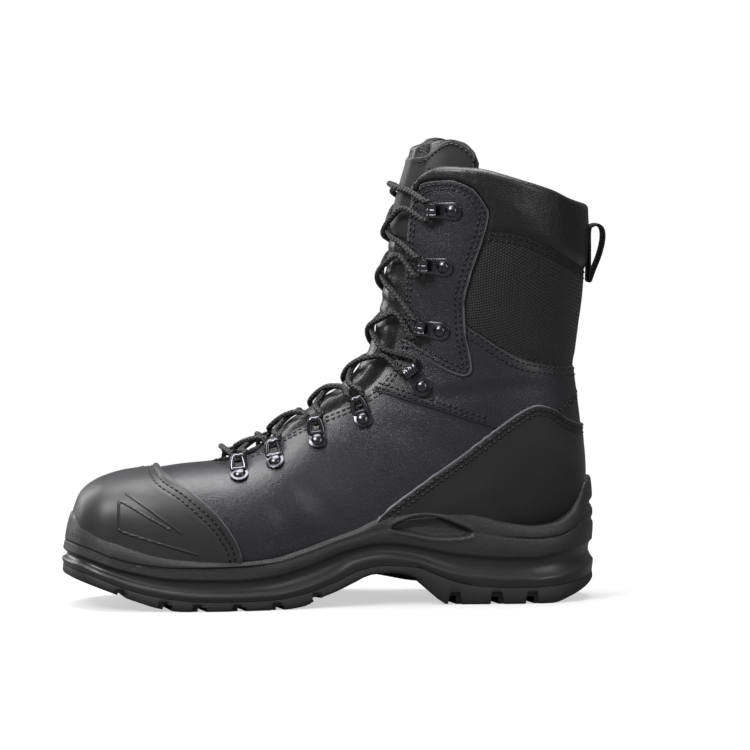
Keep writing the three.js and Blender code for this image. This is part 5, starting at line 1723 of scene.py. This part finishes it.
# The loop's way seen from the side, as shares of its reach and height, and its cross-section in millimetres
# across and in shares of its thickness
LOOP_WAY = [
    (0.08, 0.06), (0.35, 0.24), (0.68, 0.47), (0.88, 0.68), (0.92, 0.82), (0.84, 0.92), (0.6, 0.975),
    (0.3, 0.965), (0.09, 0.90), (0.08, 0.6), (0.08, 0.3),
]
LOOP_SECTION = [
    (-7, -0.7), (-6.4, -1), (0, -1.05), (6.4, -1), (7, -0.7), (7.15, 0), (7, 0.7), (6.4, 1), (0, 1.05),
    (-6.4, 1), (-7, 0.7), (-7.15, 0),
]


class BOOT_OT_pull_loop(bpy.types.Operator):
    """Makes the webbing loop behind the collar"""
    bl_idname = "boot.pull_loop"
    bl_label = "Pull loop"

    def execute(self, context):
        back = SECTIONS["base_at"][-1] + 2 * SEAT_GAP + 2.6
        bottom = 0.72 * COLLAR_HEIGHT
        way = [(back + out * LOOP_REACH, bottom + up * LOOP_HEIGHT) for out, up in LOOP_WAY]
        line = smooth_line(np.array(way), 8, True)
        rows = ribbon(line, np.roll(line, -1, 0) - np.roll(line, 1, 0), LOOP_SECTION, 1.0, 0.8)
        loop = lay("loop_webbing", np.concatenate([rows, rows[:1]]), True, 2e-5)
        face_out(loop)
        modify(loop, "SUBSURF", levels=1, render_levels=1)
        smooth(loop)
        finish(loop, "webbing", "webbing", "pull_loop")
        return {"FINISHED"}


def stitches(name, runs):
    """One joined mesh of small stitches. Each run is points and outward directions."""
    pitch, length, width = sizes().stitch_pitch / MM, sizes().stitch_length / MM, sizes().thread / MM
    deselect()
    bpy.ops.mesh.primitive_uv_sphere_add(segments=6, ring_count=4, radius=0.5)
    pattern = bpy.context.object
    shape = np.array([v.co[:] for v in pattern.data.vertices])
    faces = [tuple(p.vertices) for p in pattern.data.polygons]
    shape = shape[:, (2, 0, 1)] * [length, width, width * 0.8]
    squared = np.abs(shape[:, 0]) / (length / 2)
    shape[:, 1:] *= (1 + 0.35 * squared[:, None])
    all_points, all_faces = [], []
    for points, normals in runs:
        joined = evenly(np.concatenate([points, normals], 1), pitch)
        p, n = joined[:, :3], unit(joined[:, 3:])
        t = unit(np.gradient(p, axis=0)) if len(p) > 1 else n
        b = np.cross(n, t)
        for k in range(len(p)):
            base = len(all_points) * len(shape)
            all_points.append(p[k] + shape[:, :1] * t[k] + shape[:, 1:2] * b[k] + shape[:, 2:] * n[k])
            all_faces += [tuple(base + i for i in face) for face in faces]
    mesh = bpy.data.meshes.new(name)
    mesh.from_pydata((np.concatenate(all_points) * MM).tolist(), [], all_faces)
    mesh.update()
    bpy.data.objects.remove(pattern)
    obj = bpy.data.objects.new(name, mesh)
    bpy.context.collection.objects.link(obj)
    smooth(obj)
    finish(obj, "thread", "lace")
    return obj


def surface_of(*names):
    trees = []
    for name in names:
        mesh = bpy.data.objects[name].data
        trees.append(BVHTree.FromPolygons([v.co for v in mesh.vertices], [p.vertices for p in mesh.polygons]))
    return trees


def laid_on(section, turn, good, trees):
    """Runs of points on the outermost of some surfaces, with outward directions; a miss ends a run."""
    base, out = skin(section, turn), outward(section, turn)
    runs, points, normals = [], [], []
    for p, n, ok in zip(base, out, good):
        hits = [tree.ray_cast(Vector(p + n * 12) * MM, Vector(-n), 0.02) for tree in trees] if ok else []
        hits = [hit for hit in hits if hit[0] is not None]
        if hits:
            points.append(np.array(min(hits, key=lambda hit: hit[3])[0]) / MM + n * 0.08)
            normals.append(n)
        if points and not hits:
            if len(points) > 4:
                runs.append((np.array(points), np.array(normals)))
            points, normals = [], []
    if len(points) > 4:
        runs.append((np.array(points), np.array(normals)))
    return runs


def sewn(line, side, trees):
    """The runs of a side line on one side of the boot."""
    section, turn, miss = locate(line, side)
    return laid_on(section, turn, miss < 1.2, trees)


class BOOT_OT_stitching(bpy.types.Operator):
    """Sews the panels: rows of stitches along their edges"""
    bl_idname = "boot.stitching"
    bl_label = "Stitching"

    def execute(self, context):
        trees = surface_of(
            "upper_leather", "textile_panel", "toe_cap_leather", "heel_counter_leather", "collar_band",
            "eyestay_leather_inner", "eyestay_leather_outer", "collar_padding", "tongue_facing",
        )
        counter, backstay = (edge_line(rows, COLLAR_HEIGHT) for rows in (COUNTER_EDGE, BACKSTAY))
        bead = edge_line(CAP_BEAD, INSTEP_HEIGHT)
        eyestay = smooth_line(side_line(EYESTAY, COLLAR_HEIGHT)[1:-1], 8)
        cuff = smooth_line(side_line(CUFF_EDGE, COLLAR_HEIGHT)[2:], 8)
        facing = smooth_line(side_line(FACING_EDGE, COLLAR_HEIGHT)[1:-1], 8)
        runs = []

        for line, shifts in (
            (counter, (-2.4, -5.0)), (bead, (-3.9, -7.0)), (eyestay, EDGE_ROWS), (cuff, (-2.0, -5.2)),
            (VAMP_LINE[:44], (2.0, 4.6)), (TEXTILE_LINE[9:], (-1.8, -5.4)), (backstay, (-0.9, -2.7)),
            (facing, (-2.2,)),
        ):
            for shift in shifts:
                for side in (-1, 1):
                    runs.extend(sewn(evenly(shifted(line, shift), 1.5), side, trees))

        # Two rows follow the throat's edge, on the vamp and up the eyestays
        section = np.concatenate([np.linspace(7.9, 14.6, 70), np.linspace(15.2, 25.2, 90)])
        for side in (-1, 1):
            for aside in EDGE_ROWS:
                _, per_turn = step_lengths(section, math.pi - throat_angle(section))
                turn = math.pi + side * (throat_angle(section) + aside / per_turn)
                runs.extend(laid_on(section, turn, np.full(section.shape, True), trees))
        stitches("seam_stitches", runs)
        return {"FINISHED"}


# How strongly the white surroundings light the boot, and the soft lights: place, aim, width, height and power
AMBIENT = 0.16
LIGHTS = {
    "overhead": ((-0.15, 0.15, 1.35), (-0.1, 0, 0.1), 1.3, 0.9, 30),
    "front_left": ((-1.0, -0.85, 1.15), (-0.1, 0, 0.12), 0.55, 0.6, 22),
    "front_right": ((0.9, -1.3, 0.7), (-0.05, 0, 0.12), 0.5, 1.0, 6),
    "behind_left": ((-1.0, 0.9, 0.7), (-0.1, 0, 0.12), 0.5, 1.0, 10),
}
# The middle of the picture in metres, and the lens in millimetres, for a sensor 36 mm wide
CAMERA_AIM, LENS, SENSOR = (-0.084, 0, 0.130), 215.5, 36


class BOOT_OT_stage(bpy.types.Operator):
    """Sets the floor, the lights and the camera"""
    bl_idname = "boot.stage"
    bl_label = "Floor, lights and camera"

    def execute(self, context):
        deselect()
        bpy.ops.mesh.primitive_circle_add(vertices=96, radius=30, fill_type="NGON", location=(0, 0, 0))
        floor = bpy.context.object
        floor.name = "floor"
        # The camera sees a pale sweep that fades to white. The light off it is dimmer, so blacks stay deep
        pale = Surface("Pale Floor", "#f4f4f4", 0.4)
        far = pale.add("VectorMath", {"operation": "LENGTH"}, (pale.coords,)).outputs["Value"]
        values = {"From Min": 0.2, "From Max": 0.7, "To Min": 0.55, "interpolation_type": "SMOOTHSTEP"}
        fade = pale.add("MapRange", values, Value=far)
        seen = pale.add("MixShader", None, (fade, pale.shader, pale.add("Emission", {"Strength": 1.0})))
        dim = pale.add("BsdfDiffuse", {"Color": "#6a6a6a"})
        direct = pale.add("LightPath").outputs["Is Camera Ray"]
        both = pale.add("MixShader", None, (direct, dim, seen))
        pale.tree.links.new(both.outputs["Shader"], pale.tree.nodes["Material Output"].inputs["Surface"])
        floor.data.materials.append(pale.material)

        world = bpy.data.worlds.new("Studio")
        bpy.context.scene.world = world
        world.use_nodes = True
        nodes = world.node_tree
        nodes.nodes.clear()
        ambient = add(nodes, "Background", {"Color": "#ffffff", "Strength": AMBIENT})
        white = add(nodes, "Background", {"Color": "#ffffff", "Strength": 1.0})
        direct = add(nodes, "LightPath").outputs["Is Camera Ray"]
        add(nodes, "OutputWorld", Surface=add(nodes, "MixShader", None, (direct, ambient, white)))
        bpy.context.scene.view_settings.view_transform = "Standard"

        for name, (place, aim, width, height, power) in LIGHTS.items():
            light = bpy.data.lights.new(name, "AREA")
            light.shape, light.size, light.size_y, light.energy = "RECTANGLE", width, height, power
            lamp = bpy.data.objects.new(name, light)
            bpy.context.collection.objects.link(lamp)
            lamp.location = place
            lamp.rotation_euler = (Vector(aim) - Vector(place)).to_track_quat("-Z", "Y").to_euler()

        s = sizes()
        a, e = s.camera_azimuth * DEGREE, s.camera_elevation * DEGREE
        back = Vector((math.sin(a) * math.cos(e), -math.cos(a) * math.cos(e), math.sin(e)))
        data = bpy.data.cameras.new("camera")
        data.sensor_width, data.lens = SENSOR, LENS
        camera = bpy.data.objects.new("camera", data)
        bpy.context.collection.objects.link(camera)
        camera.location = Vector(CAMERA_AIM) + back * s.camera_distance
        camera.rotation_euler = (-back).to_track_quat("-Z", "Y").to_euler()
        bpy.context.scene.camera = camera
        return {"FINISHED"}


class BOOT_PT_panel(bpy.types.Panel):
    bl_label = "Boot"
    bl_idname = "BOOT_PT_panel"
    bl_space_type = "VIEW_3D"
    bl_region_type = "UI"
    bl_category = "Boot"

    def draw(self, context):
        for name in BootSizes.__annotations__:
            self.layout.prop(context.scene.boot_sizes, name)
        for operator in OPERATORS:
            self.layout.operator(operator.bl_idname)


OPERATORS = (
    BOOT_OT_stage, BOOT_OT_upper, BOOT_OT_overlays, BOOT_OT_cuff, BOOT_OT_tongue, BOOT_OT_midsole,
    BOOT_OT_outsole, BOOT_OT_fittings, BOOT_OT_lace, BOOT_OT_pull_loop, BOOT_OT_stitching,
)
CLASSES = (BootSizes, *OPERATORS, BOOT_PT_panel)


def register():
    for cls in CLASSES:
        bpy.utils.register_class(cls)
    bpy.types.Scene.boot_sizes = PointerProperty(type=BootSizes)


def unregister():
    del bpy.types.Scene.boot_sizes
    for cls in reversed(CLASSES):
        bpy.utils.unregister_class(cls)


def main():
    register()
    for operator in OPERATORS:
        group, name = operator.bl_idname.split(".")
        getattr(getattr(bpy.ops, group), name)()


if __name__ == "__main__":
    main()
